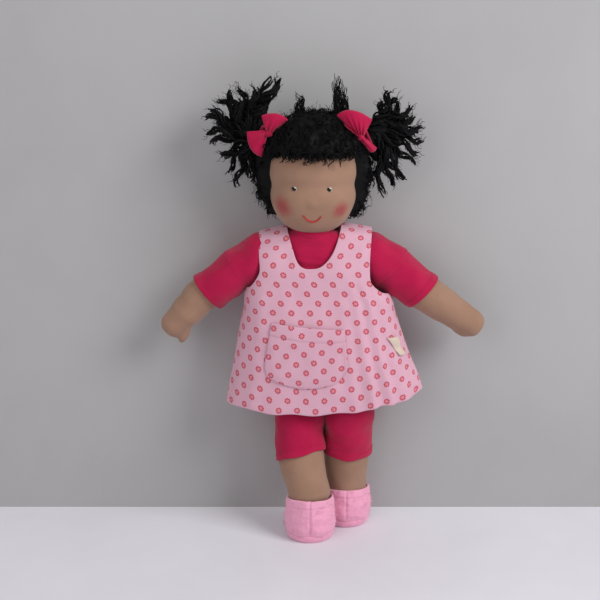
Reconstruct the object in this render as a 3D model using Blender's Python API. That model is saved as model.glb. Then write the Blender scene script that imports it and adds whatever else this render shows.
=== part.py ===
"""A soft doll with a wool-filled body, yarn hair in two bunches, a pinafore dress and felt shoes.

Metres, +Z up, the doll faces -Y and its left hand is towards +X. Every stuffed piece is a skin
around its own wool, and every garment is a separate shell over it.
"""
import math

import bpy
from mathutils import Vector

# Layers of cloth and the clearance that touching pieces keep
FIT_GAP = 0.0003
SKIN_CLOTH = 0.0010
GARMENT_CLOTH = 0.0010
SWEEP_GAP = 0.0016
CUTTER_REACH = 0.0600
CUTTER_FAR_REACH = 0.0900

# Head, an upright oval that is drawn in a little at the eye line
HEAD_X = -0.0045
HEAD_Y = -0.0085
HEAD_Z = 0.3040
HEAD_HALF_WIDTH = 0.0350
HEAD_HALF_DEPTH = 0.0300
HEAD_HALF_HEIGHT = 0.0425
HEAD_ROUNDNESS = 2.3
HEAD_RINGS = 12
HEAD_SIDES = 20
EYE_LINE_Z = 0.2990
EYE_LINE_DRAW = 0.0011
EYE_LINE_SPREAD = 0.0060
CORE_THREAD_RADIUS = 0.0008
CHEEK_Z = 0.2840
CHEEK_SWELL = 0.0008
CHEEK_SPREAD = 0.0080

# Face
EYE_SPACING = 0.0288
EYE_Z = 0.2982
EYE_HALF_WIDTH = 0.0029
EYE_HALF_HEIGHT = 0.0023
EYE_HALF_DEPTH = 0.0008
GLINT_RADIUS = 0.0006
GLINT_SHIFT = 0.0012
MOUTH_X = -0.0053
MOUTH_HALF_WIDTH = 0.0068
MOUTH_Z = 0.2775
MOUTH_SAG = 0.0056
MOUTH_THREAD_RADIUS = 0.0005
MOUTH_POINTS = 7
NOSE_X = -0.0054
NOSE_Z = 0.2865
NOSE_BEAD_RADIUS = 0.0022
NOSE_BUMP_RADIUS = 0.0040
NOSE_BUMP_RISE = 0.0007

# Neck and its tie
NECK_Y = -0.0040
NECK_RADIUS = 0.0122
NECK_BOTTOM_Z = 0.2490
NECK_PIVOT_RISE = 0.0090
NECK_PIVOT_Z = NECK_BOTTOM_Z + NECK_PIVOT_RISE
NECK_BALL_RADIUS = 0.0140
NECK_TOP_Z = NECK_PIVOT_Z + NECK_BALL_RADIUS
NECK_DOME_RINGS = 5
NECK_DOME_SHARE = 0.93
NECK_TIE_Z = 0.2570
NECK_TIE_RADIUS = 0.0006
HEAD_MOUTH_RADIUS = 0.0160
NECKBAND_BOTTOM_Z = 0.2540
NECKBAND_TOP_Z = 0.2600
NECKBAND_OUTER_RADIUS = 0.0180
NECKBAND_INNER_RADIUS = 0.0153

# Hair cap and the face window in it
HAIR_THICKNESS = 0.0095
HAIR_RIPPLE = 0.0013
HAIR_RIPPLES = 11
HAIR_BOTTOM_Z = 0.2735
HAIR_SIDES = 30
HAIR_RINGS = 10
WINDOW_HALF_WIDTH = 0.0375
WINDOW_Z = 0.2900
WINDOW_HALF_HEIGHT = 0.0295
WINDOW_BACK_Y = -0.0150
WINDOW_RIPPLE = 0.0009
WINDOW_RIPPLES = 9
WINDOW_SIDES = 28

# Bunches of hair, their elastics and bows
BUNCH_X = 0.0388
BUNCH_Y = -0.0060
BUNCH_Z = 0.3345
BUNCH_TILT = math.radians(24.0)
BUNCH_WAIST_RADIUS = 0.0068
BUNCH_WAIST_OUT = 0.0062
ELASTIC_OUT = 0.0044
BUNCH_BALL_RADIUS = 0.0135
BUNCH_BALL_OUT = 0.0168
LOCK_COUNT = 10
LOCK_LOW_ANGLE = math.radians(-74.0)
LOCK_HIGH_ANGLE = math.radians(126.0)
LOCK_SHORT = 0.0320
LOCK_LONG = 0.0540
LOCK_UNEVEN = 0.0025
LOCK_ROOT_RADIUS = 0.0074
LOCK_TIP_RADIUS = 0.0024
LOCK_WAVE = 0.0022
LOCK_FAN_DEPTH = 0.0120
LOCK_SIDES = 5
LOCK_POINTS = 4
ELASTIC_RADIUS = 0.0013
BOW_Y = -0.0223
BOW_Z = 0.3410
BOW_X = 0.0454
BOW_TILT = math.radians(65.0)
BOW_HALF_LENGTH = 0.0168
BOW_HALF_HEIGHT = 0.0112
BOW_WAIST = 0.0026
BOW_HALF_DEPTH = 0.0030
BOW_KNOT_HALF = 0.0030
BOW_KNOT_CLOTH = 0.0016

# Trunk: the outer face of the shirt, as height, half width and half depth; it leans a little
LEAN_SHARE = 0.05
UPRIGHT_Z = 0.2180
TRUNK_Y = -0.0010
TRUNK_STATIONS = (
    (0.1060, 0.0290, 0.0190),
    (0.1200, 0.0385, 0.0248),
    (0.1500, 0.0378, 0.0258),
    (0.1900, 0.0352, 0.0246),
    (0.2200, 0.0358, 0.0236),
    (0.2380, 0.0392, 0.0222),
    (0.2460, 0.0365, 0.0190),
    (0.2510, 0.0280, 0.0165),
    (0.2535, 0.0180, 0.0150),
)
TRUNK_SIDES = 18
TRUNK_RINGS = 10
SHIRT_HEM_Z = 0.1405
WAISTBAND_TOP_Z = 0.1400
WAISTBAND_BOTTOM_Z = 0.1335
WAISTBAND_CLOTH = 0.0014

# Arms: a round root in the armhole, then an upper arm, a bend and a mitten hand
SHOULDER_MIDDLE_X = -0.0025
SHOULDER_HALF = 0.0505
SHOULDER_Z = 0.2262
SLEEVE_ROOT_RADIUS = 0.0212
SLEEVE_HEM_RADIUS = 0.0180
SLEEVE_LENGTH = 0.0415
UPPER_ARM_ANGLE = math.radians(27.5)
UPPER_ARM_LENGTH = 0.0470
FOREARM_LENGTH = 0.0420
LEFT_FOREARM_ANGLE = math.radians(26.5)
RIGHT_FOREARM_ANGLE = math.radians(47.5)
ARM_RADII = (0.0195, 0.0152, 0.0131, 0.0116, 0.0110, 0.0122)
ARM_SIDES = 12
ARM_WOOL_MOUTH_RADIUS = 0.0100
THUMB_RADIUS = 0.0048
THUMB_LENGTH = 0.0120
THUMB_ROOT_SHARE = 0.93
ARM_MOUTH_SHARE = 0.2
THUMB_ANGLE = math.radians(-48.0)
ARM_RAISE_LIMIT = math.radians(62.0)
SLEEVE_SIDES = 14
SLEEVE_RINGS = 3

# Legs: a round root in the seat, a thigh and a stump of a foot inside the shoe
HIP_MIDDLE_X = 0.0055
HIP_HALF = 0.0205
HIP_Y = -0.0040
HIP_Z = 0.1050
SHORTS_ROOT_RADIUS = 0.0197
SHORTS_HEM_RADIUS = 0.0184
SHORTS_HEM_Z = 0.0630
ANKLE_X = {"left": 0.0245, "right": -0.0055}
ANKLE_Y = {"left": 0.0085, "right": -0.0210}
ANKLE_Z = 0.0370
LEG_RADII = (0.0182, 0.0171, 0.0159, 0.0147)
LEG_SIDES = 12
LEG_MOUTH_RADIUS = 0.0110
FOOT_RADIUS = 0.0147
FOOT_BOTTOM_Z = 0.0036
FOOT_CORNER = 0.0060
LEG_SWING_LIMIT = math.radians(55.0)
LEFT_LEG_AXIS_TURN = math.radians(34.0)
RIGHT_LEG_AXIS_TURN = math.radians(-20.0)

# Shoes
SOLE_THICKNESS = 0.0030
SOLE_HALF_WIDTH = 0.0192
SOLE_HALF_LENGTH = 0.0172
SHOE_STATIONS = (
    (0.0033, 0.0192, 0.0172),
    (0.0120, 0.0209, 0.0189),
    (0.0240, 0.0200, 0.0182),
    (0.0335, 0.0187, 0.0172),
)
SHOE_CLOTH = 0.0018
SHOE_SIDES = 18

# Dress: height, middle across, half width, middle front to back, half depth
DRESS_STATIONS = (
    (0.1120, 0.0040, 0.0800, -0.0085, 0.0350),
    (0.1300, 0.0032, 0.0755, -0.0080, 0.0345),
    (0.1500, 0.0022, 0.0712, -0.0072, 0.0338),
    (0.1700, 0.0014, 0.0668, -0.0062, 0.0327),
    (0.1880, 0.0006, 0.0620, -0.0050, 0.0310),
    (0.2020, -0.0004, 0.0560, -0.0040, 0.0296),
    (0.2140, -0.0012, 0.0490, -0.0030, 0.0278),
    (0.2260, -0.0014, 0.0440, -0.0020, 0.0262),
    (0.2380, -0.0012, 0.0418, -0.0012, 0.0246),
    (0.2473, -0.0014, 0.0382, -0.0010, 0.0206),
    (0.2526, -0.0016, 0.0296, -0.0010, 0.0182),
    (0.2552, -0.0018, 0.0196, -0.0010, 0.0168),
)
DRESS_ARC_POINTS = 19
DRESS_FOLDS = 5
DRESS_FOLD_DEPTH = 0.0030
DRESS_BACK_SHARE = 0.25
DRESS_FOLD_TOP_Z = 0.2020
DRESS_HEM_DIP = 0.0030
DRESS_SIDE_GAP = 0.0003
NECKLINE_HALF_WIDTH = 0.0215
NECKLINE_FRONT_Z = 0.2335
NECKLINE_FRONT_RISE = 0.0215
NECKLINE_BACK_Z = 0.2445
NECKLINE_BACK_RISE = 0.0080
NECKLINE_SIDES = 28
POCKET_X = -0.0085
POCKET_HALF_WIDTH = 0.0345
POCKET_TOP_Z = 0.1860
POCKET_BOTTOM_Z = 0.1390
POCKET_CLOTH = 0.0010
POCKET_COLUMNS = 12
POCKET_ROWS = 6
POCKET_CORNER_CUT = 0.0060
POCKET_CORNER_SHARE = 0.4
LABEL_X = 0.0640
LABEL_TOP_Z = 0.1740
LABEL_BOTTOM_Z = 0.1560
LABEL_WIDTH = 0.0100
LABEL_CLOTH = 0.0008

# The two sides, and the pieces that hang from each joint
SIDES = {"left": 1.0, "right": -1.0}
FOREARM_ANGLES = {"left": LEFT_FOREARM_ANGLE, "right": RIGHT_FOREARM_ANGLE}
LEG_AXIS_TURNS = {"left": LEFT_LEG_AXIS_TURN, "right": RIGHT_LEG_AXIS_TURN}
BUNCH_STEMS = ("pigtail", "hair_elastic", "bow", "bow_knot")
ARM_STEMS = ("arm_skin", "arm_wool", "sleeve")
LEG_STEMS = ("leg_skin", "leg_wool", "shorts_leg")
SHOE_STEMS = ("shoe_upper", "shoe_sole")

# Plain colours, as red, green and blue
TAN = (0.50, 0.31, 0.19)
BLACK = (0.012, 0.011, 0.013)
WHITE = (0.90, 0.88, 0.85)
MOUTH_RED = (0.50, 0.03, 0.04)
CRIMSON = (0.60, 0.015, 0.085)
PALE_PINK = (0.83, 0.62, 0.71)
SHOE_PINK = (0.87, 0.40, 0.57)
CREAM = (0.85, 0.80, 0.70)
WOOL = (0.86, 0.82, 0.74)


def clear_scene():
    """Remove every object that is already there."""
    for thing in list(bpy.data.objects):
        bpy.data.objects.remove(thing, do_unlink=True)


def make_collection(name, hidden):
    """Return a new collection in the scene."""
    collection = bpy.data.collections.new(name)
    bpy.context.scene.collection.children.link(collection)
    collection.hide_render = hidden
    return collection


def make_material(name, colour, roughness):
    """Return a plain cloth material."""
    material = bpy.data.materials.new(name)
    material.use_nodes = True
    shader = material.node_tree.nodes["Principled BSDF"]
    shader.inputs["Base Color"].default_value = (*colour, 1.0)
    shader.inputs["Roughness"].default_value = roughness
    shader.inputs["Metallic"].default_value = 0.0
    return material


def make_object(name, points, faces, colour=None, roughness=0.9):
    """Add a mesh as a part of the doll, or as a cutter when it has no colour."""
    mesh = bpy.data.meshes.new(name)
    mesh.from_pydata([tuple(point) for point in points], [], faces)
    mesh.validate()
    thing = bpy.data.objects.new(name, mesh)
    for face in mesh.polygons:
        face.use_smooth = len(face.vertices) == 4
    if colour is None:
        CUTTERS.objects.link(thing)
        thing.hide_render = True
        thing.display_type = "WIRE"
    else:
        PARTS.objects.link(thing)
        mesh.materials.append(make_material(name + "_cloth", colour, roughness))
    return thing


def loft(name, rings, colour=None, roughness=0.9, joined=False):
    """Skin a row of rings; the ends are filled, or joined when the rings make a loop."""
    sides = len(rings[0])
    points = [point for ring in rings for point in ring]
    spans = len(rings) if joined else len(rings) - 1
    faces = []
    for row in range(spans):
        low = row * sides
        high = ((row + 1) % len(rings)) * sides
        for side in range(sides):
            after = (side + 1) % sides
            faces.append((low + side, low + after, high + after, high + side))
    if not joined:
        faces.append(tuple(range(sides - 1, -1, -1)))
        faces.append(tuple(range(spans * sides, (spans + 1) * sides)))
    return make_object(name, points, faces, colour, roughness)


def combine(thing, cutter, operation, self_crossing=False):
    """Add an exact Boolean of the cutter to a part."""
    modifier = thing.modifiers.new(operation.lower(), "BOOLEAN")
    modifier.operation = operation
    modifier.solver = "EXACT"
    modifier.use_self = self_crossing
    modifier.object = cutter


def cut(thing, *cutters):
    """Take the cutters away from a part."""
    for cutter in cutters:
        combine(thing, cutter, "DIFFERENCE")


def ellipse(centre, across, along, sides):
    """Return the points of an ellipse from its middle and two half axes."""
    turns = (math.tau * number / sides for number in range(sides))
    return [centre + across * math.cos(turn) + along * math.sin(turn) for turn in turns]


def level_ring(centre, half_width, half_depth, sides):
    """Return a level ellipse, counter-clockwise seen from above."""
    return ellipse(Vector(centre), Vector((half_width, 0, 0)), Vector((0, half_depth, 0)), sides)


def station_at(stations, height):
    """Return the smooth values of a table of stations at a height."""
    last = len(stations) - 1
    row = 0
    while row < last - 1 and height > stations[row + 1][0]:
        row += 1
    low, high = stations[row], stations[row + 1]
    before, after = stations[max(row - 1, 0)], stations[min(row + 2, last)]
    span = high[0] - low[0]
    share = min(max((height - low[0]) / span, 0.0), 1.0)
    values = []
    for column in range(1, len(low)):
        start_slope = (high[column] - before[column]) / (high[0] - before[0])
        end_slope = (after[column] - low[column]) / (after[0] - low[0])
        values.append(
            (2 * share**3 - 3 * share**2 + 1) * low[column]
            + (share**3 - 2 * share**2 + share) * span * start_slope
            + (3 * share**2 - 2 * share**3) * high[column]
            + (share**3 - share**2) * span * end_slope
        )
    return values


def ball(name, centre, radii, sides, colour=None, roughness=0.9):
    """Return an ellipsoid from its middle and three half axes."""
    rings = []
    count = max(sides // 2, 4)
    for number in range(count):
        turn = math.pi * (number + 0.5) / count
        middle = Vector(centre) - Vector((0, 0, radii[2] * math.cos(turn)))
        wide = math.sin(turn)
        rings.append(level_ring(middle, radii[0] * wide, radii[1] * wide, sides))
    return loft(name, rings, colour, roughness)


def upright_cylinder(name, centre, radius, low, high, sides):
    """Return an upright cylinder cutter between two heights."""
    rings = [level_ring((centre[0], centre[1], height), radius, radius, sides) for height in (low, high)]
    return loft(name, rings)


def ring_tube(name, centres, thickness, colour=None, sides=5):
    """Return a closed tube round a loop of points that lies nearly in one plane."""
    count = len(centres)
    middle = sum(centres, Vector()) / count
    rings = []
    for number in range(count):
        tangent = (centres[(number + 1) % count] - centres[number - 1]).normalized()
        outward = (centres[number] - middle).normalized()
        upward = tangent.cross(outward).normalized()
        rings.append(ellipse(centres[number], outward * thickness, upward * thickness, sides))
    return loft(name, rings, colour, joined=True)


def tube(name, path, radii, side_axis, sides, colour=None, roughness=0.9, round_start=True, round_end=True):
    """Return a tube of changing radius along a path, with round or flat ends."""
    path = [Vector(point) for point in path]
    last = len(path) - 1
    stations = []
    for number, point in enumerate(path):
        tangent = (path[min(number + 1, last)] - path[max(number - 1, 0)]).normalized()
        stations.append((point, tangent, radii[number]))
    if round_start:
        stations = dome(stations[0], -1.0)[::-1] + stations
    if round_end:
        stations = stations + dome(stations[-1], 1.0)
    rings = []
    for point, tangent, radius in stations:
        across = (side_axis - tangent * tangent.dot(side_axis)).normalized()
        along = tangent.cross(across)
        rings.append(ellipse(point, across * radius, along * radius, sides))
    return loft(name, rings, colour, roughness)


def dome(station, direction, steps=4):
    """Return the stations of a half ball past the end of a tube."""
    point, tangent, radius = station
    caps = []
    for step in range(1, steps):
        turn = math.pi / 2 * step / (steps - 0.35)
        middle = point + tangent * (direction * radius * math.sin(turn))
        caps.append((middle, tangent, radius * math.cos(turn)))
    return caps


def sweep_room(name, pivot, axis, heading, turns, radius, slices=8, steps=4):
    """Return one cutter for all that a round limb sweeps as it turns about an axis through its root."""
    lean = heading.dot(axis)
    flat = heading - axis * lean
    drift = axis * (lean / flat.length)
    flat.normalize()
    aside = axis.cross(flat)
    start, end = turns

    def direction(turn):
        return flat * math.cos(turn) + aside * math.sin(turn)

    rings = []
    for number in range(slices):
        turn = math.pi * (number + 0.5) / slices
        middle = pivot - axis * (radius * math.cos(turn))
        wide = radius * math.sin(turn)
        back = end + math.pi / 2
        around = start + math.pi * 3 / 2 - back
        ring = [middle + direction(back + around * step / steps) * wide for step in range(steps + 1)]
        reach = CUTTER_REACH
        ring.append(middle + (direction(start) + drift) * reach - direction(start + math.pi / 2) * wide)
        for step in range(steps + 1):
            out = direction(start + (end - start) * step / steps)
            ring.append(middle + (out + drift) * CUTTER_FAR_REACH)
        ring.append(middle + (direction(end) + drift) * reach + direction(end + math.pi / 2) * wide)
        rings.append(ring)
    return loft(name, rings)


def even_shares(count):
    """Return evenly spaced shares from 0 to 1."""
    return [number / (count - 1) for number in range(count)]


def smooth_share(value):
    """Ease a share between 0 and 1."""
    value = min(max(value, 0.0), 1.0)
    return value * value * (3.0 - 2.0 * value)


# Head


def head_half_sizes(height, grow):
    """Return the half width and half depth of the head at a height, grown by a layer."""
    share = min(abs(height - HEAD_Z) / (HEAD_HALF_HEIGHT + grow), 1.0)
    fullness = (1.0 - share**HEAD_ROUNDNESS) ** (1.0 / HEAD_ROUNDNESS)
    draw = EYE_LINE_DRAW * math.exp(-(((height - EYE_LINE_Z) / EYE_LINE_SPREAD) ** 2))
    swell = CHEEK_SWELL * math.exp(-(((height - CHEEK_Z) / CHEEK_SPREAD) ** 2))
    half_width = (HEAD_HALF_WIDTH + grow) * fullness + swell - draw
    half_depth = (HEAD_HALF_DEPTH + grow) * fullness + swell - draw
    return half_width, half_depth


def head_rings(grow, sides=HEAD_SIDES, count=HEAD_RINGS):
    """Return the rings of the head from the chin to the crown."""
    tall = HEAD_HALF_HEIGHT + grow
    turns = [math.pi * (number + 0.35) / (count - 0.3) for number in range(count)]
    heights = [HEAD_Z - tall * math.cos(turn) for turn in turns]
    nearest = min(range(count), key=lambda number: abs(heights[number] - EYE_LINE_Z))
    heights[nearest] = EYE_LINE_Z
    rings = []
    for height in heights:
        half_width, half_depth = head_half_sizes(height, grow)
        rings.append(level_ring((HEAD_X, HEAD_Y, height), half_width, half_depth, sides))
    return rings


def face_point(x, height, grow):
    """Return the point of the face at a place across and a height."""
    half_width, half_depth = head_half_sizes(height, grow)
    share = (x - HEAD_X) / half_width
    return Vector((x, HEAD_Y - half_depth * math.sqrt(1.0 - share * share), height))


def make_head():
    """Head skin around a wool core with a thread at the eye line and a nose bead."""
    skin = loft("head_skin", head_rings(0), TAN)
    nose = face_point(NOSE_X, NOSE_Z, 0)
    nose_bump = nose + Vector((0, NOSE_BUMP_RADIUS - NOSE_BUMP_RISE, 0))
    combine(skin, ball("nose_bump", nose_bump, [NOSE_BUMP_RADIUS] * 3, 16), "UNION")
    cut(skin, loft("head_hollow", head_rings(-SKIN_CLOTH)))
    bead_place = face_point(NOSE_X, NOSE_Z, -SKIN_CLOTH) + Vector((0, NOSE_BEAD_RADIUS * 0.75, 0))
    bead_room = ball("nose_bead_room", bead_place, [NOSE_BEAD_RADIUS + FIT_GAP] * 3, 14)
    cut(skin, bead_room)
    neck_axis = (HEAD_X, NECK_Y)
    mouth = upright_cylinder("head_mouth", neck_axis, HEAD_MOUTH_RADIUS, NECK_BOTTOM_Z, NECK_TOP_Z, 24)
    cut(skin, mouth)

    core = loft("head_core", head_rings(-SKIN_CLOTH - FIT_GAP, HEAD_SIDES // 2), WOOL)
    recess = HEAD_MOUTH_RADIUS + FIT_GAP
    shoulder_z = NECK_PIVOT_Z + (NECK_BALL_RADIUS**2 - NECK_RADIUS**2) ** 0.5
    pivot = (*neck_axis, NECK_PIVOT_Z)
    cut(core, upright_cylinder("core_recess", neck_axis, recess, NECK_BOTTOM_Z, shoulder_z, 24))
    cut(core, ball("core_socket", pivot, [NECK_BALL_RADIUS + FIT_GAP] * 3, 24))
    cut(core, bead_room)
    inset = -SKIN_CLOTH - FIT_GAP - CORE_THREAD_RADIUS
    half_width, half_depth = head_half_sizes(EYE_LINE_Z, inset - FIT_GAP)
    loop = level_ring((HEAD_X, HEAD_Y, EYE_LINE_Z), half_width, half_depth, HEAD_SIDES)
    cut(core, ring_tube("thread_groove", loop, CORE_THREAD_RADIUS + 2 * FIT_GAP))
    ring_tube("core_thread", loop, CORE_THREAD_RADIUS, WOOL)
    ball("nose_bead", bead_place, [NOSE_BEAD_RADIUS] * 3, 12, WOOL)


def make_face():
    """Eye stitches with a light thread point each, and the curved mouth stitch."""
    for side, sign in SIDES.items():
        x = HEAD_X + sign * EYE_SPACING / 2
        lift = EYE_HALF_DEPTH + FIT_GAP
        place = face_point(x, EYE_Z, lift)
        radii = (EYE_HALF_WIDTH, EYE_HALF_DEPTH, EYE_HALF_HEIGHT)
        eye = ball("eye_" + side, (0, 0, 0), radii, 12, BLACK, 0.5)
        eye.location = place
        eye.rotation_euler = (0, 0, math.asin((x - HEAD_X) / HEAD_HALF_WIDTH) * 0.9)
        glint_place = place + Vector((GLINT_SHIFT, -EYE_HALF_DEPTH - GLINT_RADIUS - FIT_GAP, GLINT_SHIFT))
        ball("eye_glint_" + side, glint_place, [GLINT_RADIUS] * 3, 8, WHITE, 0.6)
    path = []
    for number in range(MOUTH_POINTS):
        share = 2.0 * number / (MOUTH_POINTS - 1) - 1.0
        height = MOUTH_Z - MOUTH_SAG * (1.0 - share * share)
        lift = MOUTH_THREAD_RADIUS + FIT_GAP
        path.append(face_point(MOUTH_X + share * MOUTH_HALF_WIDTH, height, lift))
    radii = [MOUTH_THREAD_RADIUS] * MOUTH_POINTS
    tube("mouth_stitch", path, radii, Vector((0, 1, 0)), 6, MOUTH_RED)


def make_neck():
    """The tied neck between the head and the trunk."""
    centre = Vector((HEAD_X, NECK_Y, NECK_PIVOT_Z))
    start = math.acos(NECK_RADIUS / NECK_BALL_RADIUS)
    rings = [level_ring((HEAD_X, NECK_Y, NECK_BOTTOM_Z), NECK_RADIUS, NECK_RADIUS, 24)]
    for share in even_shares(NECK_DOME_RINGS):
        turn = start + (math.pi / 2 - start) * share * NECK_DOME_SHARE
        radius = NECK_BALL_RADIUS * math.cos(turn)
        rise = Vector((0, 0, NECK_BALL_RADIUS * math.sin(turn)))
        rings.append(level_ring(centre + rise, radius, radius, 24))
    loft("neck_stump", rings, TAN)
    radius = NECK_RADIUS + FIT_GAP + NECK_TIE_RADIUS
    loop = level_ring((HEAD_X, NECK_Y, NECK_TIE_Z), radius, radius, 20)
    ring_tube("neck_tie", loop, NECK_TIE_RADIUS, WHITE)


# Hair


def make_hair_cap():
    """The yarn cap over the crown, sides and back, with a window for the face."""
    rings = []
    for number in range(HAIR_RINGS):
        turn = math.pi * (number + 0.30) / (HAIR_RINGS - 0.3)
        height = HEAD_Z - (HEAD_HALF_HEIGHT + HAIR_THICKNESS) * math.cos(turn)
        half_width, half_depth = head_half_sizes(height, HAIR_THICKNESS)
        fullness = min(half_depth / (HEAD_HALF_DEPTH + HAIR_THICKNESS), 1.0)
        ring = []
        for side in range(HAIR_SIDES):
            angle = math.tau * side / HAIR_SIDES
            ripple = HAIR_RIPPLE * fullness * math.cos(HAIR_RIPPLES * angle + number * 1.9)
            wide = (half_width + ripple) * math.cos(angle)
            deep = (half_depth + ripple) * math.sin(angle)
            ring.append(Vector((HEAD_X + wide, HEAD_Y + deep, height)))
        rings.append(ring)
    cap = loft("hair_cap", rings, BLACK, 1.0)
    cut(cap, loft("hair_hollow", head_rings(FIT_GAP)))
    low_end = (HEAD_X, HEAD_Y)
    cut(cap, upright_cylinder("hair_end", low_end, CUTTER_REACH, NECK_BOTTOM_Z, HAIR_BOTTOM_Z, 16))
    window = []
    for y in (WINDOW_BACK_Y, WINDOW_BACK_Y - CUTTER_REACH):
        ring = []
        for side in range(WINDOW_SIDES):
            angle = math.tau * side / WINDOW_SIDES
            ripple = 1.0 + WINDOW_RIPPLE / WINDOW_HALF_HEIGHT * math.cos(WINDOW_RIPPLES * angle)
            wide = WINDOW_HALF_WIDTH * ripple * math.cos(angle)
            tall = WINDOW_HALF_HEIGHT * ripple * math.sin(angle)
            ring.append(Vector((HEAD_X + wide, y, WINDOW_Z + tall)))
        window.append(ring)
    cut(cap, loft("face_window", window))
    for side, sign in SIDES.items():
        _, place = bunch_axes(sign)
        cut(cap, ball("bunch_socket_" + side, place, [BUNCH_WAIST_RADIUS + 2 * FIT_GAP] * 3, 14))


def bunch_axes(sign):
    """Return the outward axis of a bunch and its place on the head."""
    outward = Vector((sign * math.cos(BUNCH_TILT), 0, math.sin(BUNCH_TILT)))
    place = Vector((HEAD_X + sign * BUNCH_X, BUNCH_Y, BUNCH_Z))
    return outward, place


def lock_path(sign, number):
    """Return the wavy path of one lock of a bunch."""
    share = number / (LOCK_COUNT - 1)
    angle = LOCK_LOW_ANGLE + (LOCK_HIGH_ANGLE - LOCK_LOW_ANGLE) * share
    outward, place = bunch_axes(sign)
    start = place + outward * BUNCH_BALL_OUT
    depth = LOCK_FAN_DEPTH * math.sin(2.4 * number)
    apart = abs(2.0 * share - 1.0)
    length = LOCK_SHORT + (LOCK_LONG - LOCK_SHORT) * apart**1.5 + LOCK_UNEVEN * math.sin(2.0 * number)
    heading = Vector((sign * math.cos(angle), 0, math.sin(angle)))
    sideways = Vector((-sign * math.sin(angle), 0, math.cos(angle)))
    path = []
    for step in range(LOCK_POINTS):
        reach = step / (LOCK_POINTS - 1)
        wave = LOCK_WAVE * math.sin(4.2 * reach + number)
        point = start + heading * (length * reach - BUNCH_BALL_OUT * 0.25) + sideways * (wave * reach)
        path.append(point + Vector((0, depth * math.sqrt(reach), 0)))
    return path


def make_bunch(side, sign):
    """One bunch of hair: a tied waist, a full ball and tapered locks, all fused."""
    outward, place = bunch_axes(sign)
    end = place + outward * (BUNCH_BALL_OUT * 0.7)
    flare = BUNCH_BALL_RADIUS * 0.8
    radii = [BUNCH_WAIST_RADIUS, BUNCH_WAIST_RADIUS, flare]
    name = "pigtail_" + side
    waist = place + outward * BUNCH_WAIST_OUT
    bunch = tube(name, [place, waist, end], radii, Vector((0, 1, 0)), 14, BLACK, 1.0, True, False)
    centre = place + outward * BUNCH_BALL_OUT
    fused = [ball("bunch_ball_" + side, centre, [BUNCH_BALL_RADIUS] * 3, 14)]
    for number in range(LOCK_COUNT):
        shares = [step / (LOCK_POINTS - 1) for step in range(LOCK_POINTS)]
        radii = [LOCK_ROOT_RADIUS + (LOCK_TIP_RADIUS - LOCK_ROOT_RADIUS) * share**1.3 for share in shares]
        lock_name = "lock_" + side + "_" + str(number)
        path = lock_path(sign, number)
        fused.append(tube(lock_name, path, radii, Vector((0, 1, 0)), LOCK_SIDES, None, 1.0, False, False))
    for piece in fused:
        combine(bunch, piece, "UNION")
    ring_radius = BUNCH_WAIST_RADIUS + FIT_GAP + ELASTIC_RADIUS
    upward = outward.cross(Vector((0, 1, 0)))
    centre = place + outward * ELASTIC_OUT
    loop = ellipse(centre, Vector((0, ring_radius, 0)), upward * ring_radius, 16)
    ring_tube("hair_elastic_" + side, loop, ELASTIC_RADIUS, CRIMSON)


def make_bow(side, sign):
    """One jersey bow: two flat loops drawn in at a knot that wraps their waist."""
    centre = Vector((HEAD_X + sign * BOW_X, BOW_Y, BOW_Z))
    along = Vector((-sign * math.cos(BOW_TILT), 0, math.sin(BOW_TILT)))
    across = Vector((0, 1, 0)).cross(along)
    shares = (-1.0, -0.85, -0.5, -0.22, 0.0, 0.22, 0.5, 0.85, 1.0)
    fullness = (0.72, 0.98, 0.80, 0.20, 0.0, 0.20, 0.80, 0.98, 0.72)
    rings = []
    for share, full in zip(shares, fullness):
        tall = BOW_WAIST + (BOW_HALF_HEIGHT - BOW_WAIST) * full
        deep = BOW_WAIST * 0.7 + (BOW_HALF_DEPTH - BOW_WAIST * 0.7) * math.sqrt(full)
        middle = centre + along * (BOW_HALF_LENGTH * share)
        rings.append(ellipse(middle, across * tall, Vector((0, deep, 0)), 12))
    loft("bow_" + side, rings, CRIMSON)
    knot = []
    for share, grow in ((-1.0, BOW_KNOT_CLOTH), (1.0, BOW_KNOT_CLOTH), (1.0, 0.0), (-1.0, 0.0)):
        ring_across = BOW_WAIST * 1.35 + FIT_GAP + grow
        ring_deep = BOW_WAIST * 1.15 + FIT_GAP + grow
        middle = centre + along * (BOW_KNOT_HALF * share * (0.7 if grow == 0.0 else 0.5))
        knot.append(ellipse(middle, across * ring_across, Vector((0, ring_deep, 0)), 14))
    loft("bow_knot_" + side, knot, CRIMSON, joined=True)


# Trunk


def lean_x(height):
    """Return the middle of the leaning trunk at a height."""
    return LEAN_SHARE * (UPRIGHT_Z - height)


def trunk_ring(height, grow, sides=TRUNK_SIDES):
    """Return a ring of the trunk, grown by a layer and moved up or down with it."""
    half_width, half_depth = station_at(TRUNK_STATIONS, height)
    low, high = TRUNK_STATIONS[0][0], TRUNK_STATIONS[-1][0]
    middle = (low + high) / 2
    share = (height - middle) / (high - middle)
    level = height + grow * math.copysign(abs(share) ** 3, share)
    return level_ring((lean_x(height), TRUNK_Y, level), half_width + grow, half_depth + grow, sides)


def trunk_rings(grow, low, high, count=TRUNK_RINGS, sides=TRUNK_SIDES):
    """Return rings of the trunk between two heights, closer together near the top."""
    shares = [1.0 - (1.0 - number / (count - 1)) ** 1.5 for number in range(count)]
    return [trunk_ring(low + (high - low) * share, grow, sides) for share in shares]


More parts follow.
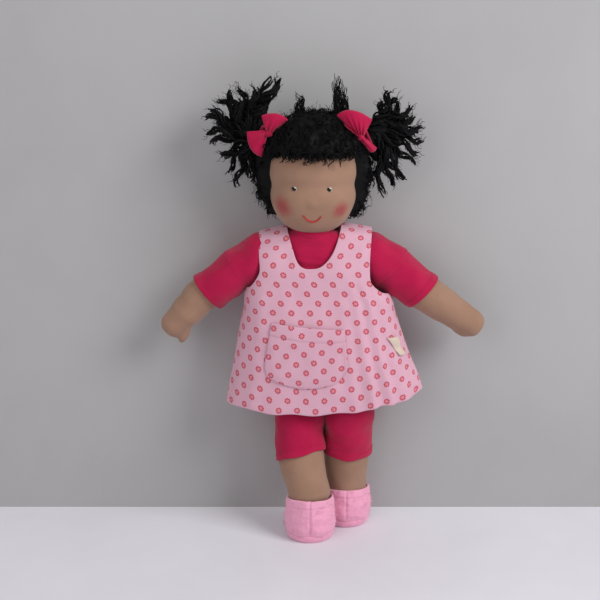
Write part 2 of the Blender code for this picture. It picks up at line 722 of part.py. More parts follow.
def make_trunk(arm_room, leg_room):
    """Trunk skin and wool, the shirt with its neckband, the seat of the shorts and its elastic."""
    low, high = TRUNK_STATIONS[0][0], TRUNK_STATIONS[-1][0]
    under_shirt = -GARMENT_CLOTH - FIT_GAP
    neck_axis = (HEAD_X, NECK_Y)
    neck_room = NECK_RADIUS + FIT_GAP

    filling = trunk_rings(under_shirt - SKIN_CLOTH - FIT_GAP, low, high, sides=TRUNK_SIDES // 2)
    wool = loft("torso_wool", filling, WOOL)
    neck_seat = upright_cylinder("neck_seat", neck_axis, neck_room, NECK_BOTTOM_Z - FIT_GAP, HEAD_Z, 24)
    cut(wool, neck_seat, *arm_room, *leg_room)

    skin = loft("torso_skin", trunk_rings(under_shirt, low, high), TAN)
    cut(skin, loft("torso_hollow", trunk_rings(under_shirt - SKIN_CLOTH, low, high)))
    cut(skin, neck_seat, *arm_room, *leg_room)

    shirt = loft("shirt_body", trunk_rings(0, SHIRT_HEM_Z, high), CRIMSON)
    hollow = loft("shirt_hollow", trunk_rings(-GARMENT_CLOTH, low, high))
    neck_hole = upright_cylinder("shirt_neck", neck_axis, NECKBAND_INNER_RADIUS, NECK_BOTTOM_Z, HEAD_Z, 24)
    cut(shirt, hollow, neck_hole, *arm_room)

    band = []
    for height, radius in (
        (NECKBAND_BOTTOM_Z, NECKBAND_OUTER_RADIUS),
        (NECKBAND_TOP_Z, NECKBAND_OUTER_RADIUS - GARMENT_CLOTH / 2),
        (NECKBAND_TOP_Z, NECKBAND_INNER_RADIUS),
        (NECKBAND_BOTTOM_Z, NECKBAND_INNER_RADIUS),
    ):
        band.append(level_ring((HEAD_X, NECK_Y, height), radius, radius, 28))
    loft("shirt_neckband", band, CRIMSON, joined=True)

    seat_top = WAISTBAND_BOTTOM_Z - FIT_GAP
    seat = loft("shorts_seat", trunk_rings(0, low, seat_top, 8), CRIMSON)
    cut(seat, hollow, *leg_room)
    outer, inner = [], []
    for height in (WAISTBAND_BOTTOM_Z, WAISTBAND_TOP_Z):
        outer.append(trunk_ring(height, WAISTBAND_CLOTH - GARMENT_CLOTH))
        inner.append(trunk_ring(height, -GARMENT_CLOTH))
    loft("shorts_waistband", outer + inner[::-1], CRIMSON, joined=True)


# Arms


def arm_point(side, share):
    """Return the point of an arm at a share of its length, with a soft bend at the elbow."""
    sign = SIDES[side]
    shoulder = Vector((SHOULDER_MIDDLE_X + sign * SHOULDER_HALF, TRUNK_Y, SHOULDER_Z))
    upper = Vector((sign * math.cos(UPPER_ARM_ANGLE), 0, -math.sin(UPPER_ARM_ANGLE)))
    angle = FOREARM_ANGLES[side]
    lower = Vector((sign * math.cos(angle), 0, -math.sin(angle)))
    length = UPPER_ARM_LENGTH + FOREARM_LENGTH
    reach = share * length
    bend = smooth_share((reach / UPPER_ARM_LENGTH - 0.75) * 2.0)
    straight = upper * min(reach, UPPER_ARM_LENGTH) + lower * max(reach - UPPER_ARM_LENGTH, 0.0)
    eased = upper * (reach * (1.0 - bend)) + straight * bend
    return shoulder + eased


def arm_tube(name, side, grow, colour=None, round_start=True):
    """Return the arm from the shoulder to the hand, grown by a layer."""
    path = [arm_point(side, share) for share in even_shares(len(ARM_RADII))]
    radii = [radius + grow for radius in ARM_RADII]
    return tube(name, path, radii, Vector((0, 1, 0)), ARM_SIDES, colour, 0.9, round_start)


def sleeve_tube(name, side, grow, length, colour=None):
    """Return the sleeve from its round root, grown by a layer."""
    sign = SIDES[side]
    shoulder = arm_point(side, 0.0)
    heading = Vector((sign * math.cos(UPPER_ARM_ANGLE), 0, -math.sin(UPPER_ARM_ANGLE)))
    shares = even_shares(SLEEVE_RINGS)
    path = [shoulder + heading * (length * share) for share in shares]
    slope = (SLEEVE_HEM_RADIUS - SLEEVE_ROOT_RADIUS) / SLEEVE_LENGTH
    radii = [SLEEVE_ROOT_RADIUS + slope * length * share + grow for share in shares]
    return tube(name, path, radii, Vector((0, 1, 0)), SLEEVE_SIDES, colour, 0.9, True, False)


def make_arm(side):
    """One arm: skin, wool and sleeve."""
    sign = SIDES[side]
    skin = arm_tube("arm_skin_" + side, side, 0, TAN)
    tip = arm_point(side, 1.0)
    root = arm_point(side, THUMB_ROOT_SHARE)
    heading = (tip - arm_point(side, THUMB_ROOT_SHARE)).normalized()
    downward = Vector((0, 1, 0)).cross(heading) * sign
    thumb_way = heading * math.cos(THUMB_ANGLE) + downward * math.sin(-THUMB_ANGLE)
    start = root + downward * (ARM_RADII[-1] * 0.45)
    path = [start, start + thumb_way * THUMB_LENGTH]
    thumb = tube("thumb_" + side, path, [THUMB_RADIUS] * 2, Vector((0, 1, 0)), 10)
    combine(skin, thumb, "UNION")
    cut(skin, arm_tube("arm_hollow_" + side, side, -SKIN_CLOTH))
    shoulder = arm_point(side, 0.0)
    back = shoulder + (shoulder - arm_point(side, ARM_MOUTH_SHARE)).normalized() * CUTTER_REACH
    mouth = tube("arm_mouth_" + side, [back, shoulder], [ARM_WOOL_MOUTH_RADIUS] * 2, Vector((0, 1, 0)), 14)
    cut(skin, mouth)
    arm_tube("arm_wool_" + side, side, -SKIN_CLOTH - FIT_GAP, WOOL)
    sleeve = sleeve_tube("sleeve_" + side, side, 0, SLEEVE_LENGTH, colour=CRIMSON)
    inside = SLEEVE_LENGTH + SLEEVE_HEM_RADIUS
    cut(sleeve, sleeve_tube("sleeve_hollow_" + side, side, -GARMENT_CLOTH, inside))


def make_arm_room(side):
    """Return cutters for the space that a sleeve sweeps as its arm is raised."""
    sign = SIDES[side]
    shoulder = arm_point(side, 0.0)
    heading = Vector((sign * math.cos(UPPER_ARM_ANGLE), 0, -math.sin(UPPER_ARM_ANGLE)))
    radius = SLEEVE_ROOT_RADIUS + SWEEP_GAP
    turns = (0.0, ARM_RAISE_LIMIT)
    return [sweep_room("arm_room_" + side, shoulder, Vector((0, -sign, 0)), heading, turns, radius)]


# Legs


def leg_axis(side):
    """Return the hinge axis of a leg, turned so that the legs part as they come forward."""
    turn = LEG_AXIS_TURNS[side]
    return -Vector((math.cos(turn), math.sin(turn), 0))


def hip_place(side):
    """Return the middle of a leg's round root."""
    return Vector((HIP_MIDDLE_X + SIDES[side] * HIP_HALF, HIP_Y, HIP_Z))


def leg_tube(name, side, grow, colour=None):
    """Return a leg from the hip to the flat foot stump, grown by a layer."""
    hip = hip_place(side)
    ankle = Vector((ANKLE_X[side], ANKLE_Y[side], ANKLE_Z))
    path = [hip + (ankle - hip) * share for share in even_shares(len(LEG_RADII))]
    radii = [radius + grow for radius in LEG_RADII]
    bottom = FOOT_BOTTOM_Z - grow
    for height, radius in (
        (bottom + FOOT_CORNER, FOOT_RADIUS),
        (bottom + FOOT_CORNER * 0.3, FOOT_RADIUS - FOOT_CORNER * 0.3),
        (bottom, FOOT_RADIUS - FOOT_CORNER),
    ):
        path.append(Vector((ANKLE_X[side], ANKLE_Y[side], height)))
        radii.append(radius + grow)
    last = len(path) - 1
    stations = []
    for number, point in enumerate(path):
        tangent = (path[min(number + 1, last)] - path[max(number - 1, 0)]).normalized()
        stations.append((point, tangent, radii[number]))
    root = (hip, (path[1] - hip).normalized(), radii[0])
    rings = []
    for point, tangent, radius in dome(root, -1.0)[::-1] + stations:
        across = (Vector((1, 0, 0)) - tangent * tangent.x).normalized()
        rings.append(ellipse(point, across * radius, tangent.cross(across) * radius, LEG_SIDES))
    return loft(name, rings, colour)


def shorts_tube(name, side, grow, length, colour=None):
    """Return one leg of the shorts from its round root, grown by a layer."""
    hip = hip_place(side)
    heading = (Vector((ANKLE_X[side], ANKLE_Y[side], ANKLE_Z)) - hip).normalized()
    shares = even_shares(SLEEVE_RINGS)
    path = [hip + heading * (length * share) for share in shares]
    slope = (SHORTS_HEM_RADIUS - SHORTS_ROOT_RADIUS) / (HIP_Z - SHORTS_HEM_Z)
    radii = [SHORTS_ROOT_RADIUS + slope * length * share + grow for share in shares]
    return tube(name, path, radii, Vector((1, 0, 0)), SLEEVE_SIDES, colour, 0.9, True, False)


def make_leg(side):
    """One leg: skin, wool and leg of the shorts."""
    skin = leg_tube("leg_skin_" + side, side, 0, TAN)
    cut(skin, leg_tube("leg_hollow_" + side, side, -SKIN_CLOTH))
    hip = hip_place(side)
    ankle = Vector((ANKLE_X[side], ANKLE_Y[side], ANKLE_Z))
    above = hip + (hip - ankle).normalized() * CUTTER_REACH
    cut(skin, tube("leg_mouth_" + side, [above, hip], [LEG_MOUTH_RADIUS] * 2, Vector((1, 0, 0)), 14))
    leg_tube("leg_wool_" + side, side, -SKIN_CLOTH - FIT_GAP, WOOL)
    length = HIP_Z - SHORTS_HEM_Z
    leg = shorts_tube("shorts_leg_" + side, side, 0, length, colour=CRIMSON)
    cut(leg, shorts_tube("shorts_hollow_" + side, side, -GARMENT_CLOTH, length + SHORTS_HEM_RADIUS))


def make_leg_room(side):
    """Return cutters for the space that a leg sweeps as it swings."""
    hip = hip_place(side)
    ankle = Vector((ANKLE_X[side], ANKLE_Y[side], ANKLE_Z))
    turns = (0.0, LEG_SWING_LIMIT)
    radius = SHORTS_ROOT_RADIUS + SWEEP_GAP
    return [sweep_room("leg_room_" + side, hip, leg_axis(side), ankle - hip, turns, radius)]


def make_shoe(side):
    """One shoe: a flat felt sole and an upper with an open top."""
    x, y = ANKLE_X[side], ANKLE_Y[side]
    rings = []
    for height in (0.0, SOLE_THICKNESS):
        rings.append(level_ring((x, y, height), SOLE_HALF_WIDTH, SOLE_HALF_LENGTH, SHOE_SIDES))
    loft("shoe_sole_" + side, rings, SHOE_PINK)
    outer, inner = [], []
    for height, half_width, half_depth in SHOE_STATIONS:
        outer.append(level_ring((x, y, height), half_width, half_depth, SHOE_SIDES))
        half_width, half_depth = half_width - SHOE_CLOTH, half_depth - SHOE_CLOTH
        inner.append(level_ring((x, y, height), half_width, half_depth, SHOE_SIDES))
    loft("shoe_upper_" + side, outer + inner[::-1], SHOE_PINK, joined=True)


# Dress


def dress_point(height, angle, inset):
    """Return a point of the dress from its height and turn, with soft folds towards the hem."""
    middle_x, half_width, middle_y, half_depth = station_at(DRESS_STATIONS, height)
    low = DRESS_STATIONS[0][0]
    hang = smooth_share((DRESS_FOLD_TOP_Z - height) / (DRESS_FOLD_TOP_Z - low))
    forward = DRESS_BACK_SHARE + (1.0 - DRESS_BACK_SHARE) * max(-math.sin(angle), 0.0)
    fold = DRESS_FOLD_DEPTH * hang * forward * (0.5 + 0.5 * math.cos(2 * DRESS_FOLDS * angle))
    reach = fold - inset
    dip = DRESS_HEM_DIP * hang * abs(math.sin(angle))
    return Vector((
        middle_x + (half_width + reach) * math.cos(angle),
        middle_y + (half_depth + reach) * math.sin(angle),
        height - dip + DRESS_HEM_DIP * hang * 0.5,
    ))


def make_dress_panel(name, facing):
    """Half of the dress, the front with facing -1 or the back with facing 1, before its openings are cut."""
    rings = []
    for height in (station[0] for station in DRESS_STATIONS):
        outer, inner = [], []
        for number in range(DRESS_ARC_POINTS):
            angle = facing * math.pi * number / (DRESS_ARC_POINTS - 1)
            side_gap = Vector((0, facing * DRESS_SIDE_GAP / 2, 0))
            outer.append(dress_point(height, angle, 0) + side_gap)
            inner.append(dress_point(height, angle, GARMENT_CLOTH) + side_gap)
        ring = outer + inner[::-1]
        rings.append(ring if facing > 0 else ring[::-1])
    return loft(name, rings, PALE_PINK)


def make_neckline(name, bottom, rise, facing):
    """Return the cutter of a neckline: a U shape through one side of the dress."""
    middle = DRESS_STATIONS[-1][1]
    top = HEAD_Z
    rings = []
    ends = (-NECKLINE_HALF_WIDTH, CUTTER_REACH) if facing > 0 else (-CUTTER_REACH, NECKLINE_HALF_WIDTH)
    for y in ends:
        ring = []
        for number in range(NECKLINE_SIDES):
            angle = -math.pi * number / (NECKLINE_SIDES - 1)
            height = bottom + rise * (1.0 + math.sin(angle))
            ring.append(Vector((middle + NECKLINE_HALF_WIDTH * math.cos(angle), y, height)))
        ring.append(Vector((middle - NECKLINE_HALF_WIDTH, y, top)))
        ring.append(Vector((middle + NECKLINE_HALF_WIDTH, y, top)))
        rings.append(ring)
    return loft(name, rings)


def make_dress(arm_room):
    """Front and back of the dress with straps, and the side label."""
    for name, facing, bottom, rise in (
        ("dress_front", -1.0, NECKLINE_FRONT_Z, NECKLINE_FRONT_RISE),
        ("dress_back", 1.0, NECKLINE_BACK_Z, NECKLINE_BACK_RISE),
    ):
        panel = make_dress_panel(name, facing)
        cut(panel, make_neckline(name + "_neckline", bottom, rise, facing), *arm_room)


def front_y(x, height, lift):
    """Return how far forward the front of the dress is at a place."""
    middle_x, half_width, _, _ = station_at(DRESS_STATIONS, height)
    angle = -math.acos(min(max((x - middle_x) / half_width, -1.0), 1.0))
    return dress_point(height, angle, -lift).y - DRESS_SIDE_GAP / 2


def make_pocket():
    """The patch pocket, lying on the front of the dress."""
    rings = []
    for row in range(POCKET_ROWS):
        share = row / (POCKET_ROWS - 1)
        height = POCKET_BOTTOM_Z + (POCKET_TOP_Z - POCKET_BOTTOM_Z) * share
        corner_share = max(0.0, 1.0 - share / POCKET_CORNER_SHARE)
        half = POCKET_HALF_WIDTH - POCKET_CORNER_CUT * corner_share**2
        left = POCKET_X - half
        xs = [left + (half + half) * across_share for across_share in even_shares(POCKET_COLUMNS)]
        back = [Vector((x, front_y(x, height, FIT_GAP), height)) for x in xs]
        lift = FIT_GAP + POCKET_CLOTH
        front = [Vector((x, front_y(x, height, lift), height)) for x in reversed(xs)]
        rings.append((back + front)[::-1])
    loft("dress_pocket", rings, PALE_PINK)


def make_label():
    """The small folded label at the left side seam, left blank."""
    corners = []
    for x, height in (
        (LABEL_X, LABEL_BOTTOM_Z),
        (LABEL_X + LABEL_WIDTH, LABEL_BOTTOM_Z),
        (LABEL_X + LABEL_WIDTH, LABEL_TOP_Z),
        (LABEL_X, LABEL_TOP_Z),
    ):
        corners.append((x, height))
    lifts = (FIT_GAP, FIT_GAP + LABEL_CLOTH)
    rings = []
    for lift in lifts:
        y = min(front_y(x, height, lift) for x, height in corners)
        rings.append([Vector((x, y - lift, height)) for x, height in corners])
    loft("side_label", rings, CREAM)


# Joints


def make_joint(name, place, carrier, children):
    """Add an empty on a joint and hang the moving pieces from it, each left where it is."""
    empty = bpy.data.objects.new("joint_" + name, None)
    PARTS.objects.link(empty)
    empty.empty_display_size = ELASTIC_RADIUS
    carrier_place = Vector(carrier["place"]) if carrier else Vector()
    empty.location = Vector(place) - carrier_place
    if carrier:
        empty.parent = carrier
    empty["place"] = tuple(place)
    for child in children:
        bpy.data.objects[child].parent = empty
        bpy.data.objects[child].location -= Vector(place)
    return empty


def side_nodes(stems, side):
    """Return the names of the pieces of one side."""
    return [stem + "_" + side for stem in stems]


def hang_on_joints():
    """Hang every moving piece on its joint, and bring the middle of the doll's base to the origin."""
    root = make_joint("root", (0, 0, 0), None, [])
    neck_place = (HEAD_X, NECK_Y, NECK_PIVOT_Z)
    neck = make_joint("neck", neck_place, root, ["neck_stump", "neck_tie"])
    face = side_nodes(("eye", "eye_glint"), "left") + side_nodes(("eye", "eye_glint"), "right")
    head_nodes = ["head_skin", "head_core", "core_thread", "nose_bead", "mouth_stitch", "hair_cap", *face]
    head = make_joint("head", neck_place, neck, head_nodes)
    for side, sign in SIDES.items():
        _, bunch_place = bunch_axes(sign)
        make_joint("pigtail_" + side, bunch_place, head, side_nodes(BUNCH_STEMS, side))
        make_joint("arm_" + side, arm_point(side, 0.0), root, side_nodes(ARM_STEMS, side))
        leg = make_joint("leg_" + side, hip_place(side), root, side_nodes(LEG_STEMS, side))
        shoe_place = (ANKLE_X[side], ANKLE_Y[side], 0.0)
        make_joint("shoe_" + side, shoe_place, leg, side_nodes(SHOE_STEMS, side))
    for thing in [*PARTS.objects, *CUTTERS.objects]:
        if thing.parent is None and thing is not root:
            thing.parent = root
    bpy.context.view_layer.update()
    view = bpy.context.evaluated_depsgraph_get()
    corners = []
    for thing in PARTS.objects:
        if thing.type == "MESH":
            shown = thing.evaluated_get(view)
            corners += [shown.matrix_world @ Vector(corner) for corner in shown.bound_box]
    low = [min(corner[axis] for corner in corners) for axis in range(3)]
    high = [max(corner[axis] for corner in corners) for axis in range(3)]
    root.location = (-(low[0] + high[0]) / 2, -(low[1] + high[1]) / 2, -low[2])
    bpy.context.view_layer.update()
    print("origin moved by", *(round(value, 6) for value in root.location))


def build():
    """Build the whole doll."""
    make_head()
    make_face()
    make_neck()
    make_hair_cap()
    arm_room, leg_room = [], []
    for side, sign in SIDES.items():
        make_bunch(side, sign)
        make_bow(side, sign)
        make_arm(side)
        make_leg(side)
        make_shoe(side)
        arm_room += make_arm_room(side)
        leg_room += make_leg_room(side)
    make_trunk(arm_room, leg_room)
    make_dress(arm_room)
    make_pocket()
    make_label()
    hang_on_joints()


clear_scene()
PARTS = make_collection("waldorf_doll", False)
CUTTERS = make_collection("cutters", True)
build()
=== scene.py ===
"""A soft doll with yarn hair in two bunches, a print pinafore over jersey clothes, and fleece shoes.

Metres. Shapes are drawn in the maker's own drawing frame, and ORIGIN brings the drawing to the frame
of the packed model. The doll faces -Y and its left hand is towards +X.
"""
import random
from math import acos, atan2, cos, exp, hypot, pi, radians, remainder, sin, sqrt, tau

import bpy
from bpy.props import FloatProperty, FloatVectorProperty, IntProperty, PointerProperty
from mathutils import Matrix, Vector, noise


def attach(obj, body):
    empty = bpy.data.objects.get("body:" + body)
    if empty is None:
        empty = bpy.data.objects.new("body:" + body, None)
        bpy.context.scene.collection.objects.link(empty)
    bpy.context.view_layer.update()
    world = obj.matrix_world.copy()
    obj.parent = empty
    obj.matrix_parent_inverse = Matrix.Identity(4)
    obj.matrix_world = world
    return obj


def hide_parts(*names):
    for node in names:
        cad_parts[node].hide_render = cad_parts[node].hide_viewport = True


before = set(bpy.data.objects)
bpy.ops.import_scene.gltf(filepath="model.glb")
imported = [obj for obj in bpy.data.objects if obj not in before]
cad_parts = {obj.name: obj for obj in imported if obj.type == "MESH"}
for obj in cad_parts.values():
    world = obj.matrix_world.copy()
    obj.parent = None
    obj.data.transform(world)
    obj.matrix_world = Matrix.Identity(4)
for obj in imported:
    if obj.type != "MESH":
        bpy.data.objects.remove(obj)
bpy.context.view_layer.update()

bl_info = {
    "name": "Soft doll in a pinafore",
    "version": (1, 0, 0),
    "blender": (4, 5, 0),
    "location": "3D View > Sidebar > Doll",
    "description": "Sews a stuffed doll with yarn hair and its clothes around the packed model",
    "category": "Add Mesh",
}

ORIGIN = Vector((-0.002048, 0.007573, 0.0))
SIDES = {"left": 1.0, "right": -1.0}
UPRIGHT = Vector((0, 0, 1))
FORWARD = Vector((0, -1, 0))

# Head, in drawing metres
HEAD = Vector((-0.0045, -0.0085, 0.3040))
HEAD_HALF = Vector((0.0350, 0.0300, 0.0425))
HEAD_LOWER_HALF = 0.0457
HEAD_ROUNDNESS, JAW_ROUNDNESS = 2.3, 2.5
EYE_PLACES = {"left": (0.0079, 0.2975), "right": (-0.0196, 0.2979)}
NOSE_PLACE = (-0.0054, 0.2865)
# Blushes: place across, height, radius
BLUSHES = {"left": (0.0170, 0.2803, 0.0086), "right": (-0.0288, 0.2826, 0.0104)}
# Mouth: middle across, height of its corners, half width
MOUTH = (-0.0054, 0.2764, 0.0070)
# Face window in the hair: middle across, height of its lower part, half width, height above that
WINDOW = (-0.0045, 0.2900, 0.0400, 0.0340)
HAIR_LOW = 0.2740
NECK = Vector((-0.0045, -0.0040, 0.2580))

# Cloth thickness and rows of stitches: stitch, space between, thread radius
JERSEY_THICK, COTTON_THICK = 0.0010, 0.0009
JERSEY_STITCH = (0.0021, 0.0009, 0.00014)
COTTON_STITCH = (0.0020, 0.0010, 0.00013)
POCKET_STITCH = (0.0019, 0.0009, 0.00014)
SHOE_STITCH = (0.0022, 0.0014, 0.00015)

# Trunk under the clothes, as height, half width and half depth of the shirt's outside
TRUNK_Y = -0.0010
WAIST = 0.1367
NECK_TIE = 0.2570
TRUNK = (
    (0.1060, 0.0290, 0.0170),
    (0.1200, 0.0385, 0.0202),
    (0.1500, 0.0378, 0.0210),
    (0.1900, 0.0352, 0.0214),
    (0.2200, 0.0358, 0.0226),
    (0.2380, 0.0400, 0.0222),
    (0.2460, 0.0422, 0.0202),
    (0.2515, 0.0430, 0.0188),
    (0.2550, 0.0415, 0.0176),
    (0.2575, 0.0350, 0.0170),
    (0.2588, 0.0255, 0.0167),
    (0.2596, 0.0178, 0.0165),
)

# Arms and legs
SHOULDERS = {"left": Vector((0.0480, -0.0010, 0.2262)), "right": Vector((-0.0530, -0.0010, 0.2262))}
UPPER_ARM_ANGLE = radians(27.5)
FOREARM_ANGLES = {"left": radians(33.5), "right": radians(47.0)}
ARM_RADII = {
    "left": (0.0180, 0.0160, 0.0156, 0.0150, 0.0138, 0.0116),
    "right": (0.0180, 0.0156, 0.0149, 0.0144, 0.0136, 0.0116),
}
ARM_RISES = {"left": 0.0050, "right": 0.0028}
ARM_ROOT_RISES = {"left": 0.0030, "right": 0.0054}
ARM_UNDERSIDES = {"left": 0.0014, "right": 0.0054}
# Thumbs: way they turn, place along the arm, how far they stand out, how low they sit
THUMBS = {
    "left": (radians(8.0), 0.0800, 0.0050, 0.72),
    "right": (radians(24.0), 0.0746, 0.0066, 0.62),
}
UPPER_ARM_LENGTH = 0.0470
ARM_LENGTHS = {"left": 0.0905, "right": 0.0810}
SLEEVE_RADII = (0.0205, 0.0167)
SLEEVE_ROOT = 0.0260
SLEEVE_LENGTH = 0.0430
SLEEVE_HEM = 0.0056
SLEEVE_SLANTS = {"left": 0.0048, "right": 0.0036}
# Shoulder seams: place along the sleeve, how they slant round it, how strongly they show
SLEEVE_SEAMS = {"left": (0.0095, 0.0062, 1.0), "right": (0.0120, 0.0040, 0.35)}
HIPS = {"left": Vector((0.0260, -0.0040, 0.1050)), "right": Vector((-0.0150, -0.0040, 0.1050))}
ANKLES = {"left": Vector((0.0245, 0.0085, 0.0370)), "right": Vector((-0.0055, -0.0210, 0.0370))}
LEG_RADII = (0.0198, 0.0196, 0.0189, 0.0177)
LEG_BOWS = {"left": (0.0, 0.0), "right": (-0.0030, -0.0022)}
SHORTS_RADII = (0.0212, 0.0207)
SHORTS_LENGTH = 0.0410
SHORTS_HEM = 0.0060
# Hems of the shorts: slant across, shift of the whole hem, shift of its front
HEM_SLANTS = {"left": (0.0010, -0.0036, 0.0000), "right": (-0.0022, -0.0042, -0.0006)}

# Shoes, as height, half width and half length of the outside
SHOE = (
    (0.0064, 0.0203, 0.0192),
    (0.0125, 0.0216, 0.0203),
    (0.0200, 0.0215, 0.0202),
    (0.0280, 0.0204, 0.0195),
    (0.0340, 0.0195, 0.0188),
    (0.0420, 0.0188, 0.0184),
)
SHOE_RIMS = {"left": 0.0322, "right": 0.0356}
# How far each shoe stands off the end of its leg, across and in depth
SHOE_SHIFTS = {"left": (0.0002, -0.0016), "right": (0.0012, -0.0022)}

# Dress: height, middle across, half width, middle in depth, half depth, squareness
DRESS = (
    (0.1120, 0.0054, 0.0822, -0.0085, 0.0350, 2.10),
    (0.1300, 0.0046, 0.0780, -0.0080, 0.0345, 2.15),
    (0.1500, 0.0032, 0.0728, -0.0072, 0.0338, 2.20),
    (0.1700, 0.0020, 0.0682, -0.0062, 0.0327, 2.35),
    (0.1860, 0.0010, 0.0644, -0.0052, 0.0313, 2.70),
    (0.1950, 0.0008, 0.0618, -0.0045, 0.0303, 3.20),
    (0.2007, 0.0004, 0.0612, -0.0042, 0.0297, 3.50),
    (0.2060, -0.0006, 0.0600, -0.0038, 0.0291, 3.70),
    (0.2126, -0.0016, 0.0575, -0.0032, 0.0284, 3.80),
    (0.2200, -0.0026, 0.0540, -0.0026, 0.0277, 3.90),
    (0.2290, -0.0033, 0.0510, -0.0019, 0.0269, 4.00),
    (0.2380, -0.0034, 0.0508, -0.0012, 0.0258, 4.00),
    (0.2450, -0.0034, 0.0508, -0.0010, 0.0236, 3.80),
    (0.2510, -0.0034, 0.0508, -0.0010, 0.0205, 3.50),
    (0.2560, -0.0034, 0.0508, -0.0010, 0.0168, 3.20),
    (0.2640, -0.0034, 0.0508, -0.0006, 0.0002, 2.80),
)
STRAP_BEND = 0.2560
DRESS_HEM_ROW = 0.1185
SEAM_TOP = 0.2035
# Edges of the armholes: height, the right edge and the left edge across
ARMHOLES = (
    (0.2035, -0.0700, 0.0700),
    (0.2060, -0.0700, 0.0640),
    (0.2090, -0.0680, 0.0572),
    (0.2115, -0.0640, 0.0522),
    (0.2145, -0.0574, 0.0480),
    (0.2175, -0.0546, 0.0446),
    (0.2215, -0.0514, 0.0420),
    (0.2290, -0.0474, 0.0411),
    (0.2400, -0.0477, 0.0414),
    (0.2520, -0.0482, 0.0424),
    (0.2640, -0.0480, 0.0434),
)
# Neck openings: lowest point, half width and how fast they open
NECKLINES = {"front": (0.2322, 0.0218, 0.36), "back": (0.2440, 0.0218, 0.42)}


def colour_of(red, green, blue):
    """Return a colour written as on a paint card, 0 to 255, in linear light."""
    values = [part / 255.0 for part in (red, green, blue)]
    return [part / 12.92 if part <= 0.04045 else ((part + 0.055) / 1.055) ** 2.4 for part in values]


def ease(value, low=0.0, high=1.0):
    """Return a smooth share from 0 at low to 1 at high."""
    share = min(max((value - low) / (high - low), 0.0), 1.0)
    return share * share * (3.0 - 2.0 * share)


def hump(value, middle, spread):
    """Return a soft bell of height 1."""
    return exp(-(((value - middle) / spread) ** 2))


def between(table, height):
    """Return the smooth values of a table of stations at a height."""
    last = len(table) - 1
    row = 0
    while row < last - 1 and height > table[row + 1][0]:
        row += 1
    low, high = table[row], table[row + 1]
    before, after = table[max(row - 1, 0)], table[min(row + 2, last)]
    span = high[0] - low[0]
    share = min(max((height - low[0]) / span, 0.0), 1.0)
    values = []
    for column in range(1, len(low)):
        start = (high[column] - before[column]) / (high[0] - before[0])
        end = (after[column] - low[column]) / (after[0] - low[0])
        values.append(
            (2 * share**3 - 3 * share**2 + 1) * low[column]
            + (share**3 - 2 * share**2 + share) * span * start
            + (3 * share**2 - 2 * share**3) * high[column]
            + (share**3 - share**2) * span * end
        )
    return values


def along_list(values, share):
    """Return the value at a share along evenly spaced values."""
    place = min(max(share, 0.0), 1.0) * (len(values) - 1)
    row = min(int(place), len(values) - 2)
    return values[row] + (values[row + 1] - values[row]) * ease(place - row)


def around(x, y, wide, deep, turn, height):
    """Return a point at a turn on a level oval about an upright line."""
    return Vector((x + wide * cos(turn), y + deep * sin(turn), height))


def about(middle, aside, front, radius, angle):
    """Return a point at an angle on a round about a point of a middle line."""
    return middle + aside * (radius * cos(angle)) + front * (radius * sin(angle))


def any_way(dice):
    """Return a random vector, up to 1 each way."""
    return Vector((dice.uniform(-1, 1), dice.uniform(-1, 1), dice.uniform(-1, 1)))


def darker(colour, share):
    """Return a share of a colour."""
    return [part * share for part in colour]


def uneven(place, size, depth):
    """Return a small bump or hollow at a place, as hand stuffing leaves."""
    return depth * noise.noise(Vector(place) / size)


# Bench tools: a piece is started from a primitive, shaped, pressed with modifiers and hung on its body


def put_down():
    """Leave edit mode and deselect everything."""
    if bpy.context.object and bpy.context.object.mode != "OBJECT":
        bpy.ops.object.mode_set(mode="OBJECT")
    bpy.ops.object.select_all(action="DESELECT")


def pick_up(piece):
    """Select one piece alone and make it active."""
    put_down()
    piece.select_set(True)
    bpy.context.view_layer.objects.active = piece


def call_piece(name):
    """Name the piece that was just added."""
    piece = bpy.context.object
    piece.name = name
    piece.data.name = name
    return piece


def press(piece, kind, **settings):
    """Add a modifier to a piece and apply it."""
    pick_up(piece)
    change = piece.modifiers.new(kind.lower(), kind)
    for key, value in settings.items():
        setattr(change, key, value)
    bpy.ops.object.modifier_apply(modifier=change.name)


def thicken(piece, thickness, offset=-1.0):
    """Give a sheet its thickness, inwards from the face that shows."""
    press(piece, "SOLIDIFY", thickness=thickness, offset=offset)


def smooth_out(piece):
    """Divide each face of a piece once, so that it curves smoothly."""
    press(piece, "SUBSURF", levels=1, render_levels=1)


def open_piece(piece, action="SELECT"):
    """Open a piece in edit mode with everything selected, or nothing."""
    pick_up(piece)
    bpy.ops.object.mode_set(mode="EDIT")
    bpy.ops.mesh.select_all(action=action)


def tidy_faces(piece, merge=0.00002, outward=None):
    """Merge doubles and turn the faces outward; with a middle given, an open sheet faces away from it."""
    open_piece(piece)
    bpy.ops.mesh.remove_doubles(threshold=merge)
    bpy.ops.mesh.normals_make_consistent(inside=False)
    bpy.ops.object.mode_set(mode="OBJECT")
    if outward is not None:
        middle = Vector(outward) + ORIGIN
        faces = piece.data.polygons
        if sum((face.center - middle).dot(face.normal) * face.area for face in faces) < 0:
            open_piece(piece)
            bpy.ops.mesh.flip_normals()
            bpy.ops.object.mode_set(mode="OBJECT")


def close_edges(piece, bridge=False):
    """Close the open edges of a piece with a patch on each, or a bridge between two of them."""
    open_piece(piece, "DESELECT")
    bpy.ops.mesh.select_non_manifold()
    if bridge:
        bpy.ops.mesh.bridge_edge_loops()
    else:
        bpy.ops.mesh.fill_holes(sides=0)
    bpy.ops.mesh.select_all(action="SELECT")
    bpy.ops.mesh.normals_make_consistent(inside=False)
    bpy.ops.object.mode_set(mode="OBJECT")


